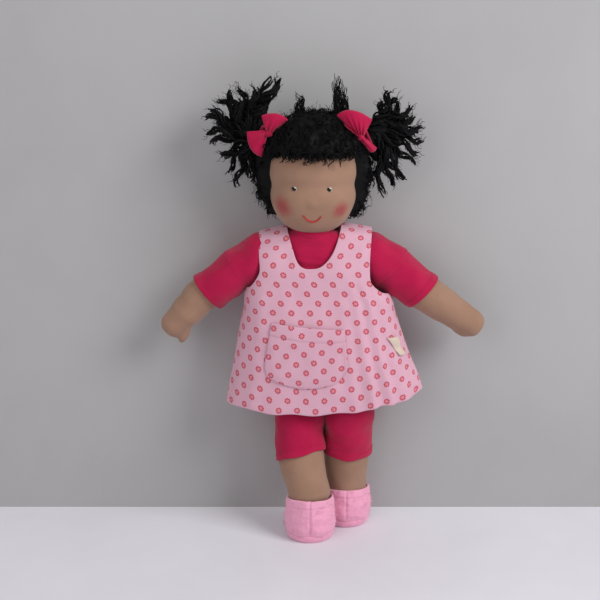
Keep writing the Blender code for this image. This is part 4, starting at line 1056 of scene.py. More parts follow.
def lock_line(side, tip, dice, points=26):
    """Return the middle line of one lock, from the elastic to its tip."""
    place, out = bunch_start(side)
    start = place + out * 0.0060
    end = Vector((tip[0], -0.0040 + tip[2] * 1.2, tip[1]))
    drift = Vector((0, dice.uniform(-0.003, 0.003), dice.uniform(-0.003, 0.004)))
    bend = start.lerp(end, 0.45) + out * 0.0060 + drift
    aside = (end - start).cross(FORWARD).normalized()
    phase, turns = dice.uniform(0, tau), dice.uniform(2.6, 4.4) * pi
    line = []
    for step in range(points):
        share = step / (points - 1)
        spot = start.lerp(bend, share).lerp(bend.lerp(end, share), share)
        sway = aside * sin(phase + turns * share) + FORWARD * cos(phase + turns * share)
        line.append(spot + sway * (0.0025 * ease(share, 0.05, 0.6)))
    return line


def tie_bunch(side):
    """One bunch of hair: curly locks of loose yarn strands with frayed ends, and fine loose fibres."""
    amount = bpy.context.scene.doll_hair
    dice = random.Random(29 if side == "left" else 31)
    place, out = bunch_start(side)
    threads = []
    tips = list(LOCK_TIPS[side])
    for _ in range(amount.inner_locks):
        tip, _ = dice.sample(LOCK_TIPS[side], 2)
        near = place.lerp(Vector((tip[0], 0, tip[1])), dice.uniform(0.55, 0.80))
        tips.append((near.x, near.z, dice.uniform(-0.011, 0.011)))
    for tip in tips:
        line = lock_line(side, tip, dice)
        last = len(line) - 1
        for strand in range(amount.lock_strands):
            angle = tau * strand / amount.lock_strands + dice.uniform(-0.4, 0.4)
            spread = dice.uniform(0.45, 1.0)
            twist = dice.uniform(1.4, 3.4) * pi
            crimp = dice.uniform(0.0004, 0.0010)
            beat = dice.uniform(5, 9) * pi
            stop = last - dice.randrange(0, 4)
            thread = []
            for step in range(stop + 1):
                share = step / last
                onward = (line[min(step + 1, last)] - line[max(step - 1, 0)]).normalized()
                one = onward.cross(FORWARD).normalized()
                two = onward.cross(one)
                turn = angle + twist * share
                full = 0.0042 * (1 - ease(share, 0.0, 0.7)) + 0.0023 - 0.0003 * ease(share, 0.5, 1.0)
                wide = spread * full * ease(share, -0.25, 0.20)
                away = one * cos(turn) + two * sin(turn)
                beats = beat * share
                crimps = two * sin(beats + angle * 3) + one * cos(beats * 0.8 + angle)
                thick = 0.00112 * (1.0 - 0.42 * share) * (0.75 + 0.3 * spread)
                thread.append((line[step] + away * wide + crimps * crimp, thick))
            threads.append(thread)
        for _ in range(amount.lock_fibres):
            step = dice.randrange(3, last)
            way = any_way(dice).normalized()
            onward = (line[step] - line[step - 1]).normalized()
            side_way = (way - onward * way.dot(onward)).normalized()
            leave = (side_way + onward * 1.6).normalized()
            threads.append(curl(line[step] + side_way * 0.0010, leave, side_way,
                                dice.uniform(0.0035, 0.0080), 0.0008, dice.uniform(0.0007, 0.0016),
                                dice.uniform(0.00013, 0.00024), dice, 6))
    fibres = spin_threads("bunch_strands_" + side, threads, 0)
    middle = place + out * 0.0135

    def lay(way):
        along = out * way.dot(out)
        spot = middle + (way - along) * 0.0064 + along * 0.0105
        return spot + way * uneven(spot, 0.004, 0.0016)

    heart = stuff_ball("bunch_heart_" + side, 28, 18, lay)
    bunch = gather([heart, fibres], "bunch_" + side)
    hang(bunch, "pigtail_" + side, "yarn", "pigtail_" + side)
    put_down()
    bpy.ops.mesh.primitive_torus_add(major_segments=72, minor_segments=12, major_radius=0.0084,
                                     minor_radius=0.0013)
    band = call_piece("elastic_" + side)
    turn = UPRIGHT.rotation_difference(out)
    for vertex in band.data.vertices:
        angle = atan2(vertex.co.y, vertex.co.x)
        flat = Vector((vertex.co.x, vertex.co.y, 0))
        spot = vertex.co + flat.normalized() * (0.00018 * sin(24 * angle))
        vertex.co = turn @ spot + place + out * 0.0044 + ORIGIN
    tidy_faces(band)
    hang(band, "pigtail_" + side, "crimson_thread", "hair_elastic_" + side)


# Tufts that stand up from the cap: root, tip, half width at the root, locks
TUFTS = (
    ((-0.0150, -0.0085, 0.3500), (-0.0150, -0.0095, 0.3710), 0.0042, 7),
    ((0.0195, -0.0060, 0.3430), (0.0132, -0.0060, 0.3840), 0.0070, 14),
)


def tie_crown_tufts():
    """The tufts that stand up from the crown and beside the left bow."""
    dice = random.Random(5)
    threads = []
    for root, tip, width, count in TUFTS:
        root, tip = Vector(root), Vector(tip)
        aside = (tip - root).cross(FORWARD).normalized()
        for _ in range(count):
            off, deep = dice.uniform(-1, 1), dice.uniform(-1, 1)
            start = root + aside * (width * off) + FORWARD * (width * 0.6 * deep)
            end = tip + aside * (width * 0.30 * off) + FORWARD * (width * 0.3 * deep)
            way = end - start
            reach = way.length * dice.uniform(0.55, 1.0)
            threads += yarn_lock(start, way.normalized(), FORWARD, reach, 0.0008,
                                 dice.uniform(0.0014, 0.0028), 5, dice, 16, 1.25)
    tuft = spin_threads("crown_tufts", threads, 0)
    hang(tuft, "head", "yarn")


# Bows: each lobe is a folded fan of jersey, drawn in at the knot


# Lobes: root and two corners of the folded edge, each across and in height, its swell, its pleats
BOW_LOBES = {
    "right": (
        ((-0.0390, 0.3395), (-0.0447, 0.3534), (-0.0240, 0.3502), 0.0038, 3),
        ((-0.0410, 0.3405), (-0.0562, 0.3410), (-0.0446, 0.3212), 0.0042, 2),
    ),
    "left": (
        ((0.0324, 0.3366), (0.0134, 0.3536), (0.0412, 0.3504), 0.0062, 5),
        ((0.0318, 0.3376), (0.0452, 0.3284), (0.0402, 0.3248), 0.0010, 2),
        ((0.0324, 0.3366), (0.0188, 0.3476), (0.0226, 0.3430), 0.0006, 1),
    ),
}
BOW_Y = -0.0240


def fold_lobe(name, root, corner, other, swell, pleats):
    """One lobe of a bow: two layers of jersey that open from the knot to a folded edge."""
    root, corner, other = (Vector((x, BOW_Y, z)) for x, z in (root, corner, other))
    across = (other - corner).normalized()
    outward = ((corner + other) / 2 - root).normalized()

    def lay(u, v):
        angle = tau * u
        side = cos(angle)
        layer = sin(angle)
        edge = corner.lerp(other, 0.5 + 0.5 * side) + outward * (swell * (1.0 - side * side))
        start = root + across * (0.0022 * side)
        spot = start.lerp(edge, v)
        belly = sin(pi * min(0.06 + 0.86 * v, 1.0)) * sqrt(max(1.0 - abs(side) ** 3, 0.0))
        close = sqrt(max(1.0 - ease(v, 0.86, 1.0) ** 2, 0.0))
        pleat = cos(pleats * pi * side + 0.8) * ease(1.0 - v, 0.0, 1.0) * ease(v, 0.0, 0.2)
        wave = 0.0010 * sin(2.3 * side + 1.0) * v
        deep = (0.0011 + 0.0022 * belly) * close
        return spot + FORWARD * (deep * layer + 0.0013 * pleat * close + wave)

    lobe = cut_sheet(name, 0.05, 0.02, 64, 26, lay, (root + corner + other) / 3)
    thicken(lobe, 0.0006)
    return lobe


def tie_bow(side):
    """One jersey bow with its lobes and its knot."""
    lobes = [fold_lobe("bow_lobe_" + side + str(number), *facts)
             for number, facts in enumerate(BOW_LOBES[side])]
    bow = gather(lobes, "bow_loops_" + side)
    hang(bow, "pigtail_" + side, "jersey", "bow_" + side)
    root = BOW_LOBES[side][0][0]
    middle = Vector((root[0], BOW_Y - 0.0006, root[1]))

    def lay(way):
        ridge = 1.0 + 0.07 * cos(3 * atan2(way.z, way.x) + 1.0)
        return middle + Vector((way.x * 0.0028, way.y * 0.0030, way.z * 0.0026)) * ridge

    knot = stuff_ball("bow_wrap_" + side, 40, 28, lay)
    hang(knot, "pigtail_" + side, "jersey", "bow_knot_" + side)


# Trunk and shirt


def lean(height):
    """Return how far the trunk leans aside at a height."""
    return 0.05 * (0.2180 - height)


def on_trunk(turn, height, grow=0.0):
    """Return a point of the trunk, grown by a layer."""
    wide, deep = between(TRUNK, height)
    return around(lean(height), TRUNK_Y, wide + grow, deep + grow, turn, height)


def sew_trunk():
    """The stuffed trunk, the neck and the thread that ties it."""
    def lay(u, v):
        height = 0.1075 + 0.1445 * v
        shrink = -0.0015 - 0.020 * (1.0 - sqrt(max(1.0 - (2 * v - 1) ** 16, 0.0)))
        return on_trunk(tau * u, height, shrink)

    trunk = cut_sheet("trunk", 0.22, 0.145, 56, 48, lay, (0, 0, 0.18))
    close_edges(trunk)
    hang(trunk, "torso", "skin", "torso_skin", "torso_wool")

    def neck_lay(way):
        height = NECK.z + (0.0140 if way.z > 0 else 0.0090) * way.z
        wide = 0.0122 * min(1.0, sqrt(max(1.0 - way.z**6, 0.0)))
        wide -= 0.0006 * hump(height, NECK_TIE, 0.0008)
        return around(NECK.x, NECK.y, wide, wide, atan2(way.y, way.x), height)

    neck = stuff_ball("neck_roll", 48, 40, neck_lay)
    hang(neck, "neck", "skin", "neck_stump")
    wraps = []
    for wrap in range(3):
        ring = []
        for step in range(49):
            turn = tau * step / 48
            height = NECK_TIE + (wrap - 1) * 0.0008 + 0.0003 * sin(turn + wrap)
            ring.append((around(NECK.x, NECK.y, 0.0124, 0.0124, turn, height), 0.0004))
        wraps.append(ring)
    tie = spin_threads("neck_thread", wraps, 1)
    hang(tie, "neck", "white_thread", "neck_tie")


def sew_shirt():
    """The shirt's body with its hem, and the ribbed neckband."""
    def lay(u, v):
        height = 0.1400 + 0.1138 * v if v < 0.9 else 0.24242 + 0.01718 * sin((v - 0.9) * 5 * pi)
        turn = tau * u
        spot = on_trunk(turn, height)
        out = Vector((cos(turn), sin(turn), 0))
        front = max(-sin(turn), 0.0)
        crease = 0.0006 * hump(height, 0.2500, 0.0012) * front**2
        pull = 0.00036 * sin(5.0 * turn + 1000.0 * height) * hump(height, 0.2300, 0.0140)
        chest = 0.0026 * hump(spot.x, NECK.x, 0.0150) * ease(height, 0.2470, NECK_TIE) * front
        return spot + out * (uneven(spot, 0.011, 0.0010) - crease + pull) + FORWARD * chest

    shirt = cut_sheet("shirt", 0.236, 0.114, 120, 84, lay, (0, 0, 0.2))
    thicken(shirt, JERSEY_THICK)
    hang(shirt, "torso", "jersey", "shirt_body")

    def band_lay(u, v):
        turn, arc = tau * u, tau * v
        rib = 0.00022 * sin(90 * turn)
        radius = 0.0166 + (0.0012 + rib) * cos(arc)
        return around(NECK.x, NECK.y + 0.0008, radius, radius * 1.04, turn, 0.2578 + 0.0034 * sin(arc))

    band = cut_sheet("neckband", 0.107, 0.0163, 270, 14, band_lay, (0, 0, 0.2567))
    tidy_faces(band)
    thicken(band, 0.0005)
    hang(band, "torso", "jersey", "shirt_neckband")


# Arms and sleeves


def arm_rise(side, reach):
    """Return how far the stuffed arm sits above the line of its joint."""
    root = ARM_ROOT_RISES[side] * ease(-reach, -0.002, 0.018)
    return ARM_RISES[side] * (1.0 - ease(reach, 0.010, 0.050)) + root


def arm_narrow(side, angle, reach):
    """Return how much slimmer the underside of the arm is near the shoulder."""
    return ARM_UNDERSIDES[side] * max(-cos(angle), 0.0) * (1.0 - ease(reach, 0.004, 0.036))


def arm_ways(side, angle=UPPER_ARM_ANGLE):
    """Return the way along a part of an arm that hangs at an angle, and the way up across it."""
    sign = SIDES[side]
    return (Vector((sign * cos(angle), 0, -sin(angle))),
            Vector((sign * sin(angle), 0, cos(angle))))


def arm_middle(side, reach):
    """Return the point of an arm's middle line at a distance from the shoulder."""
    upper, up = arm_ways(side)
    lower, _ = arm_ways(side, FOREARM_ANGLES[side])
    bend = ease((reach / UPPER_ARM_LENGTH - 0.75) * 2.0)
    straight = upper * min(reach, UPPER_ARM_LENGTH) + lower * max(reach - UPPER_ARM_LENGTH, 0.0)
    return SHOULDERS[side] + upper * (reach * (1.0 - bend)) + straight * bend + up * arm_rise(side, reach)


def arm_frame(side, reach):
    """Return the way onward, the way up across the arm and its middle point."""
    before, after = arm_middle(side, max(reach - 0.001, -0.02)), arm_middle(side, reach + 0.001)
    onward = (after - before).normalized()
    return onward, FORWARD.cross(onward).normalized() * SIDES[side], arm_middle(side, reach)


def stuff_arm(side):
    """The stuffed arm with its mitten hand and thumb."""
    radii, whole = ARM_RADII[side], ARM_LENGTHS[side]

    def lay(u, v):
        start, end = -0.0180, whole + radii[-1]
        reach = start + (end - start) * v
        onward, up, middle = arm_frame(side, min(max(reach, 0.0), whole))
        share = min(max(reach / whole, 0.0), 1.0)
        radius = along_list(radii, share)
        if reach < 0:
            middle = middle + onward * reach
            radius *= sqrt(max(1.0 - (reach / start) ** 2, 0.0))
        if reach > whole:
            over = (reach - whole) / radii[-1]
            middle = middle + onward * (reach - whole)
            radius *= sqrt(max(1.0 - min(over, 1.0) ** 2.2, 0.0))
        angle = tau * u
        radius = max(radius - arm_narrow(side, angle, reach) * ease(radius, 0.002, 0.012), 0.0)
        flat = 1.0 - 0.10 * ease(reach, 0.070, 0.090)
        spot = middle + up * (radius * cos(angle)) + FORWARD * (radius * flat * sin(angle))
        wrist = -0.0004 * hump(reach, 0.073, 0.0030)
        out = (spot - middle).normalized() if radius > 1e-6 else onward
        return spot + out * (uneven(spot, 0.009, 0.0006) + wrist)

    arm = cut_sheet("arm_" + side, 0.080, 0.112, 40, 72, lay, arm_middle(side, 0.045))
    onward, up, _ = arm_frame(side, whole)
    turned, place, out, low = THUMBS[side]
    root = arm_middle(side, place) - up * (radii[-1] * low)
    way = (onward * cos(turned) - up * sin(turned)).normalized()
    across = way.cross(FORWARD).normalized()

    def thumb_lay(direction):
        return (root + way * out + way * (direction.z * 0.0110) + across * (direction.x * 0.0050)
                - FORWARD * (direction.y * 0.0052))

    thumb = stuff_ball("thumb_" + side, 24, 20, thumb_lay)
    arm = gather([arm, thumb], "arm_" + side)
    tidy_faces(arm, 0.00005)
    close_edges(arm)
    fill_out(arm, 0.0013, 0.0007)
    line = [arm_middle(side, reach * 0.002) for reach in range(-8, 52)]
    measure_round(arm, line, 0.0135)
    hang(arm, "arm_" + side, "skin", "arm_skin_" + side, "arm_wool_" + side)


FILLING_PRESSURE = 2.0
PUFF_STEPS = 14


def fill_out(piece, grain, most):
    """Give a stuffed piece an even mesh of a grain, puff it up by no more than most, and smooth it."""
    press(piece, "REMESH", mode="VOXEL", voxel_size=grain)
    puff(piece, most)
    press(piece, "CORRECTIVE_SMOOTH", factor=0.4, iterations=3, use_only_smooth=True)
    smooth_out(piece)


def puff(piece, most):
    """Let the filling press the cloth out for a few steps, and keep each point near where it was."""
    start = [vertex.co.copy() for vertex in piece.data.vertices]
    pick_up(piece)
    change = piece.modifiers.new("cloth", "CLOTH")
    settings = change.settings
    settings.use_pressure = True
    settings.uniform_pressure_force = FILLING_PRESSURE
    settings.effector_weights.gravity = 0.0
    settings.quality = 4
    settings.mass = 0.2
    settings.tension_stiffness = 8.0
    settings.compression_stiffness = 8.0
    change.collision_settings.use_collision = False
    for number in range(1, PUFF_STEPS + 1):
        bpy.context.scene.frame_set(number)
    bpy.ops.object.modifier_apply(modifier=change.name)
    bpy.context.scene.frame_set(1)
    for vertex, old in zip(piece.data.vertices, start):
        move = vertex.co - old
        if move.length > most:
            vertex.co = old + move.normalized() * most


def measure_round(piece, line, radius):
    """Mark a round piece with its cloth's own metres: round about its middle line and along it."""
    line = [Vector(spot) + ORIGIN for spot in line]
    lengths = [0.0]
    for here, there in zip(line, line[1:]):
        lengths.append(lengths[-1] + (there - here).length)
    mesh = piece.data
    if not mesh.uv_layers:
        mesh.uv_layers.new(name="cloth")
    marks = mesh.uv_layers.active.data
    places = []
    for vertex in mesh.vertices:
        number = min(range(len(line) - 1), key=lambda row: (vertex.co - line[row]).length_squared)
        onward = (line[number + 1] - line[number]).normalized()
        side = onward.cross(FORWARD).normalized()
        away = vertex.co - line[number]
        turn = atan2(away.dot(side), away.dot(FORWARD))
        places.append((turn, lengths[number] + away.dot(onward)))
    for face in mesh.polygons:
        first = places[mesh.loops[face.loop_start].vertex_index][0]
        for loop in face.loop_indices:
            turn, along = places[mesh.loops[loop].vertex_index]
            turn += tau * round((first - turn) / tau)
            marks[loop].uv = (turn * radius, along)


def sleeve_profile(v, radii, length, root=None):
    """Return the distance along and the radius of a sleeve with a round root."""
    root = root or radii[0]
    dome = (root + radii[0]) * pi / 4
    way = v * (dome + length)
    if way < dome:
        angle = way / dome * pi / 2
        return -root * cos(angle) ** 0.8, radii[0] * sin(angle) ** 0.8
    share = (way - dome) / length
    return way - dome, radii[0] + (radii[1] - radii[0]) * share


def sew_sleeve(side):
    """One short sleeve with its shoulder seam, a turned hem and a row of stitches."""
    heading, up = arm_ways(side)
    hem_line = SLEEVE_LENGTH - SLEEVE_HEM

    def spot_at(angle, reach, radius):
        middle = SHOULDERS[side] + up * arm_rise(side, reach)
        return about(middle + heading * reach, up, FORWARD, radius, angle)

    def slant(angle, reach):
        return SLEEVE_SLANTS[side] * cos(angle) * ease(reach, 0.012, SLEEVE_LENGTH)

    def lay(u, v):
        reach, radius = sleeve_profile(v, SLEEVE_RADII, SLEEVE_LENGTH, SLEEVE_ROOT)
        angle = tau * u
        above, under = max(cos(angle), 0.0), max(-cos(angle), 0.0)
        middle_seam, slope, strong = SLEEVE_SEAMS[side]
        seam = middle_seam + slope * cos(angle)
        groove = 0.0006 * strong * hump(reach, seam, 0.0006)
        ridge = 0.0005 * strong * hump(reach, seam - 0.0016, 0.0013)
        pucker = 0.00020 * strong * sin(34 * angle) * hump(reach, seam, 0.0030)
        full = 0.0006 * above * hump(reach, seam - 0.003, 0.010)
        crush = 0.0013 * under * sin(reach / 0.0031 + 2.2 * sin(angle)) * hump(reach, 0.008, 0.010)
        twist = 0.0007 * sin(2.0 * angle + reach / 0.006) * hump(reach, 0.024, 0.012)
        hem = 0.0004 * ease(reach, hem_line - 0.0006, hem_line)
        groove += 0.0003 * hump(reach, hem_line - 0.0002, 0.0005)
        spot = spot_at(angle, reach, max(radius, 0.00001))
        swell = uneven(spot, 0.013, 0.0012) * ease(radius, 0.004, 0.016)
        rolls = ridge + pucker + full + crush + twist + hem + swell - arm_narrow(side, angle, reach)
        lift = rolls * ease(radius, 0.006, 0.018) - groove
        return spot_at(angle, reach + slant(angle, reach), max(radius + lift, 0.00001))

    sleeve = cut_sheet("sleeve_jersey_" + side, 0.126, 0.0748, 96, 88, lay, SHOULDERS[side])
    thicken(sleeve, JERSEY_THICK)
    radius = SLEEVE_RADII[1] + 0.0004 + (SLEEVE_RADII[0] - SLEEVE_RADII[1]) * 0.13
    path = [spot_at(angle, hem_line + slant(angle, hem_line), radius)
            for angle in (tau * step / 96 for step in range(97))]
    stitches = sew_line("sleeve_stitches_" + side, path, *JERSEY_STITCH)
    hang(sleeve, "arm_" + side, "jersey", "sleeve_" + side)
    hang(stitches, "arm_" + side, "crimson_thread")


# Dress


DRESS_HEIGHTS = {}


def dress_heights(face):
    """Return the heights of the rows of one panel, closer together round its neckline and shoulder."""
    if face not in DRESS_HEIGHTS:
        low, top = NECKLINES[face][0], DRESS[-1][0]
        heights = [DRESS[0][0] + (SEAM_TOP - DRESS[0][0]) * number / 28 for number in range(28)]
        heights += [SEAM_TOP + (low - SEAM_TOP) * number / 16 for number in range(16)]
        heights += [low + (STRAP_BEND - low) * (number / 15) ** 1.8 for number in range(15)]
        heights += [STRAP_BEND + (top - STRAP_BEND) * sin(pi / 2 * number / 8)
                    for number in range(9)]
        DRESS_HEIGHTS[face] = heights
    return DRESS_HEIGHTS[face]


def neck_half(face, height):
    """Return half the width of the neck opening at a height."""
    low, half, power = NECKLINES[face]
    return half * max((height - low) / (DRESS[-1][0] - low), 0.0) ** power


def dress_rounds(height):
    """Return the middle across, half width, middle in depth, half depth and squareness at a height."""
    mid_x, wide, mid_y, deep, square = between(DRESS, height)
    if height > STRAP_BEND:
        share = (height - STRAP_BEND) / (DRESS[-1][0] - STRAP_BEND)
        deep = 0.0168 * sqrt(max(1.0 - share * share, 0.0)) + 0.0002
    return mid_x, wide, mid_y, deep, square


# Folds of each panel: place across at the hem, half width, depth
FOLDS = {
    "front": (
        (0.0270, 0.0060, 0.0018), (0.0425, 0.0046, 0.0044), (0.0565, 0.0042, 0.0056),
        (0.0700, 0.0046, 0.0042), (-0.0420, 0.0090, 0.0010), (-0.0640, 0.0060, 0.0016),
        (0.0060, 0.0110, 0.0010),
    ),
    "back": (
        (-0.0550, 0.0060, 0.0026), (-0.0350, 0.0055, 0.0024), (-0.0150, 0.0060, 0.0022),
        (0.0060, 0.0055, 0.0024), (0.0260, 0.0060, 0.0024), (0.0480, 0.0060, 0.0026),
    ),
}
# How far the cloth sinks between folds, as a share of their depth
FOLD_LOWS = {"front": 0.35, "back": 0.08}
# Extra depth of the back towards its hem
BACK_ROOM = 0.0018


def dress_spot(face, sign, angle, height, lift=0.0):
    """Return a point of the dress: sign is the half, angle runs from the side seam to the middle."""
    mid_x, wide, mid_y, deep, square = dress_rounds(height)
    forward = -1.0 if face == "front" else 1.0
    across = sign * wide * max(cos(angle), 0.0) ** (2.0 / square)
    depth = forward * deep * max(sin(angle), 0.0) ** (2.0 / square)
    hang_share = ease((0.2150 - height) / (0.2150 - DRESS[0][0]))
    if face == "back":
        depth += BACK_ROOM * ease((0.2150 - height) / 0.0550) * sin(angle)
    fold = 0.0
    widen = wide / DRESS[0][2]
    for middle, spread, size in FOLDS[face]:
        fold += size * (hump(across, middle * widen, spread * (0.6 + 0.5 * widen)) - FOLD_LOWS[face])
    fold = fold * (0.45 + 0.55 * hang_share) * sin(angle) ** 0.7 * ease(0.2330 - height, 0.0, 0.03)
    loose = sin(angle) * ease(STRAP_BEND - height, -0.004, 0.01)
    fold += uneven((across, depth, height * 0.7), 0.014, 0.0010) * loose
    out = Vector((cos(angle) * sign, forward * sin(angle), 0))
    slope = -0.20 * max(abs(across) - 0.0215, 0.0) * ease(height, 0.2450, 0.2600)
    lean_up = 0.04 * across * ease(height, 0.2400, 0.2560)
    tip = (0.060 * across + 0.0080 * (across / 0.0822) ** 2) * ease((0.1900 - height) / 0.0780)
    tip += 0.0008 * sin(across / 0.006) * ease((0.1300 - height) / 0.018)
    if face == "front":
        centred = max(1.0 - abs(across) / 0.035, 0.0)
        across -= 0.0030 * ease(centred) * hump(height, 0.2330, 0.0130)
    return Vector((mid_x + across, mid_y + depth, height + slope + lean_up + tip)) + out * (fold + lift)


def dress_angles(face, sign, height):
    """Return the angles at which a row of a panel's half starts and ends."""
    mid_x, wide, _, _, square = dress_rounds(height)
    outer = 0.0
    if height > SEAM_TOP:
        right_edge, left_edge = between(ARMHOLES, height)
        edge = (left_edge if sign > 0 else right_edge) - mid_x
        outer = acos(min(abs(edge) / wide, 1.0) ** (square / 2.0))
    inner = acos(min(neck_half(face, height) / wide, 1.0) ** (square / 2.0))
    return outer, inner


def row_length(face, sign, height, angle):
    """Return the cloth's length from the middle line to an angle at a height."""
    total, before = 0.0, dress_spot(face, sign, pi / 2, height)
    for step in range(1, 13):
        here = dress_spot(face, sign, pi / 2 + (angle - pi / 2) * step / 12, height)
        total += hypot(here.x - before.x, here.y - before.y)
        before = here
    return total


def sew_panel(face):
    """Front or back of the dress, as two halves joined down the middle, with hem and edge stitches."""
    heights = dress_heights(face)
    last = len(heights) - 1
    ups = [0.0]
    for low, high in zip(heights, heights[1:]):
        here, there = (dress_spot(face, 1.0, 1.1, height) for height in (low, high))
        ups.append(ups[-1] + hypot(there.y - here.y, there.z - here.z))
    halves = []
    for sign in (1.0, -1.0):
        def row_of(v):
            return heights[min(int(round(v * last)), last)], ups[min(int(round(v * last)), last)]

        def angle_of(u, height):
            outer, inner = dress_angles(face, sign, height)
            return outer + (inner - outer) * u

        def lay(u, v):
            height, _ = row_of(v)
            return dress_spot(face, sign, angle_of(u, height), height)

        def mark(u, v):
            height, up = row_of(v)
            return (0.3 + sign * row_length(face, sign, height, angle_of(u, height)), up)

        halves.append(cut_sheet("half", 0.1, 0.15, 44, last, lay, (0, 0, 0.18), mark))
    panel = gather(halves, "dress_cloth_" + face)
    tidy_faces(panel, 0.00003, outward=(0, 0, 0.18))
    thicken(panel, COTTON_THICK)
    smooth_out(panel)
    hem = []
    for sign, order in ((-1.0, range(49)), (1.0, range(48, -1, -1))):
        for step in order:
            angle = 0.02 + (pi / 2 - 0.02) * step / 48
            hem.append(dress_spot(face, sign, angle, DRESS_HEM_ROW, 0.0001))
    threads = [sew_line("hem", hem, *COTTON_STITCH)]
    for sign in (1.0, -1.0):
        edge = []
        for height in heights:
            if height > SEAM_TOP + 0.0015:
                outer, _ = dress_angles(face, sign, height)
                edge.append(dress_spot(face, sign, outer + 0.085, height, 0.0001))
        threads.append(sew_line("edge", edge, *COTTON_STITCH))
    neck = []
    low = NECKLINES[face][0]
    for sign, rows in ((-1.0, reversed(heights)), (1.0, heights)):
        for height in rows:
            if height >= low - 1e-6:
                _, inner = dress_angles(face, sign, height)
                row = max(height - 0.0017, low - 0.0018)
                neck.append(dress_spot(face, sign, inner - 0.055, row, 0.0001))
    threads.append(sew_line("neck", neck, *COTTON_STITCH))
    stitches = gather(threads, "dress_stitches_" + face)
    hang(panel, "torso", "print", "dress_" + face)
    hang(stitches, "torso", "pink_thread")


def front_spot(x, height, lift):
    """Return the point on the front of the dress at a place across and a height."""
    mid_x, wide, _, _, square = dress_rounds(height)
    share = min(abs(x - mid_x) / wide, 0.995)
    sign = 1.0 if x > mid_x else -1.0
    return dress_spot("front", sign, acos(share ** (square / 2.0)), height, lift)


def pocket_place(u, v):
    """Return the place across and the height of a point of the patch pocket."""
    left = -0.0478 + 0.0088 * v + 0.0045 * max(0.0, 1.0 - v / 0.28) ** 2
    right = 0.0262 - 0.0050 * v - 0.0095 * max(0.0, 1.0 - v / 0.34) ** 2
    low = 0.1435 - 0.0070 * sin(pi * u) ** 0.8 - 0.0035 * u
    high = 0.1886 - 0.0050 * u - 0.0006 * sin(pi * u)
    return left + (right - left) * u, low + (high - low) * v


def sew_pocket():
    """The patch pocket with a turned top hem and two rows of stitches."""
    def lay(u, v):
        x, height = pocket_place(u, v)
        edge = min(u, 1.0 - u, v * 0.7) * 8.0
        puffed = 0.0008 * ease(edge) + 0.0006 * ease(v, 0.55, 1.0) * sin(pi * u)
        hem = 0.0004 * ease(v, 0.775, 0.79) - 0.0003 * hump(v, 0.775, 0.012)
        return front_spot(x, height, 0.0009 + puffed + hem)

    def mark(u, v):
        x, height = pocket_place(u, v)
        turn = radians(-6.0)
        return (0.1 + x * cos(turn) - height * sin(turn),
                0.0016 + x * sin(turn) + height * cos(turn))

    pocket = cut_sheet("pocket_patch", 0.074, 0.052, 64, 48, lay, (0, 0.05, 0.16), mark)
    thicken(pocket, COTTON_THICK)
    threads = []
    round_edge = [(0.03, 1.0 - 0.96 * step / 24) for step in range(25)]
    round_edge += [(0.03 + 0.94 * step / 36, 0.04) for step in range(1, 37)]
    round_edge += [(0.97, 0.04 + 0.96 * step / 24) for step in range(1, 25)]
    top = [(0.34 + 0.63 * step / 24, 0.775) for step in range(25)]
    for line in (round_edge, top):
        path = [front_spot(*pocket_place(u, v), 0.0012 + 0.0009 * ease(min(u, 1 - u, v * 0.7) * 8.0))
                for u, v in line]
        threads.append(sew_line("pocket_row", path, *POCKET_STITCH))
    stitches = gather(threads, "pocket_stitches")
    hang(pocket, "torso", "print", "dress_pocket")
    hang(stitches, "torso", "pink_thread")


def sew_label():
    """The small folded tape in the side seam, left blank."""
    def lay(u, v):
        angle = 0.68 - 0.20 * u - (0.25 - 0.08 * u) * v
        curve = 0.0012 * sin(pi * v) + 0.0006 * sin(2.6 * pi * u)
        return dress_spot("front", 1.0, angle, 0.1742 - 0.0190 * u, 0.0006 + 0.0010 * v + curve)

    label = cut_sheet("side_tape", 0.019, 0.020, 28, 24, lay, (0, 0, 0.16))
    thicken(label, 0.0008, 0.0)
    hang(label, "torso", "tape", "side_label")


# Shorts, legs and shoes


def leg_ways(side):
    """Return the way down a leg, the way across it and the way to its front."""
    down = (ANKLES[side] - HIPS[side]).normalized()
    right = (Vector((1, 0, 0)) - down * down.x).normalized()
    return down, right, down.cross(right)


def leg_middle(side, reach):
    """Return the point of a leg's middle line at a distance from the hip."""
    down, right, _ = leg_ways(side)
    share = max(reach, 0.0) / (ANKLES[side] - HIPS[side]).length
    bow, end = LEG_BOWS[side]
    aside = bow * sin(pi * min(share, 1.0)) + end * min(share, 1.0)
    into_shoe = Vector((*SHOE_SHIFTS[side], 0.0)) * ease((share - 0.66) / 0.34)
    return HIPS[side] + down * reach + right * aside + into_shoe


def sew_shorts():
    """The seat and waistband of the shorts, and its two legs with hems."""
    def lay(u, v):
        height = 0.1070 + 0.0262 * v
        turn = tau * u
        return on_trunk(turn, height, -0.0002 + 0.0003 * sin(20 * turn))

    seat = cut_sheet("shorts_seat_cloth", 0.230, 0.028, 96, 18, lay, (0, 0, 0.12))
    thicken(seat, 0.0009)
    hang(seat, "torso", "jersey", "shorts_seat")

    def band_lay(u, v):
        turn, arc = tau * u, tau * v
        gathered = 0.0004 * sin(46 * turn)
        grow = -0.0004 + (0.0008 + gathered) * cos(arc)
        return on_trunk(turn, WAIST + 0.0032 * sin(arc), grow)

    band = cut_sheet("waistband_cloth", 0.200, 0.0146, 230, 12, band_lay, (0, 0, WAIST))
    tidy_faces(band)
    thicken(band, 0.0003)
    hang(band, "torso", "jersey", "shorts_waistband")
    for side in SIDES:
        sew_shorts_leg(side)


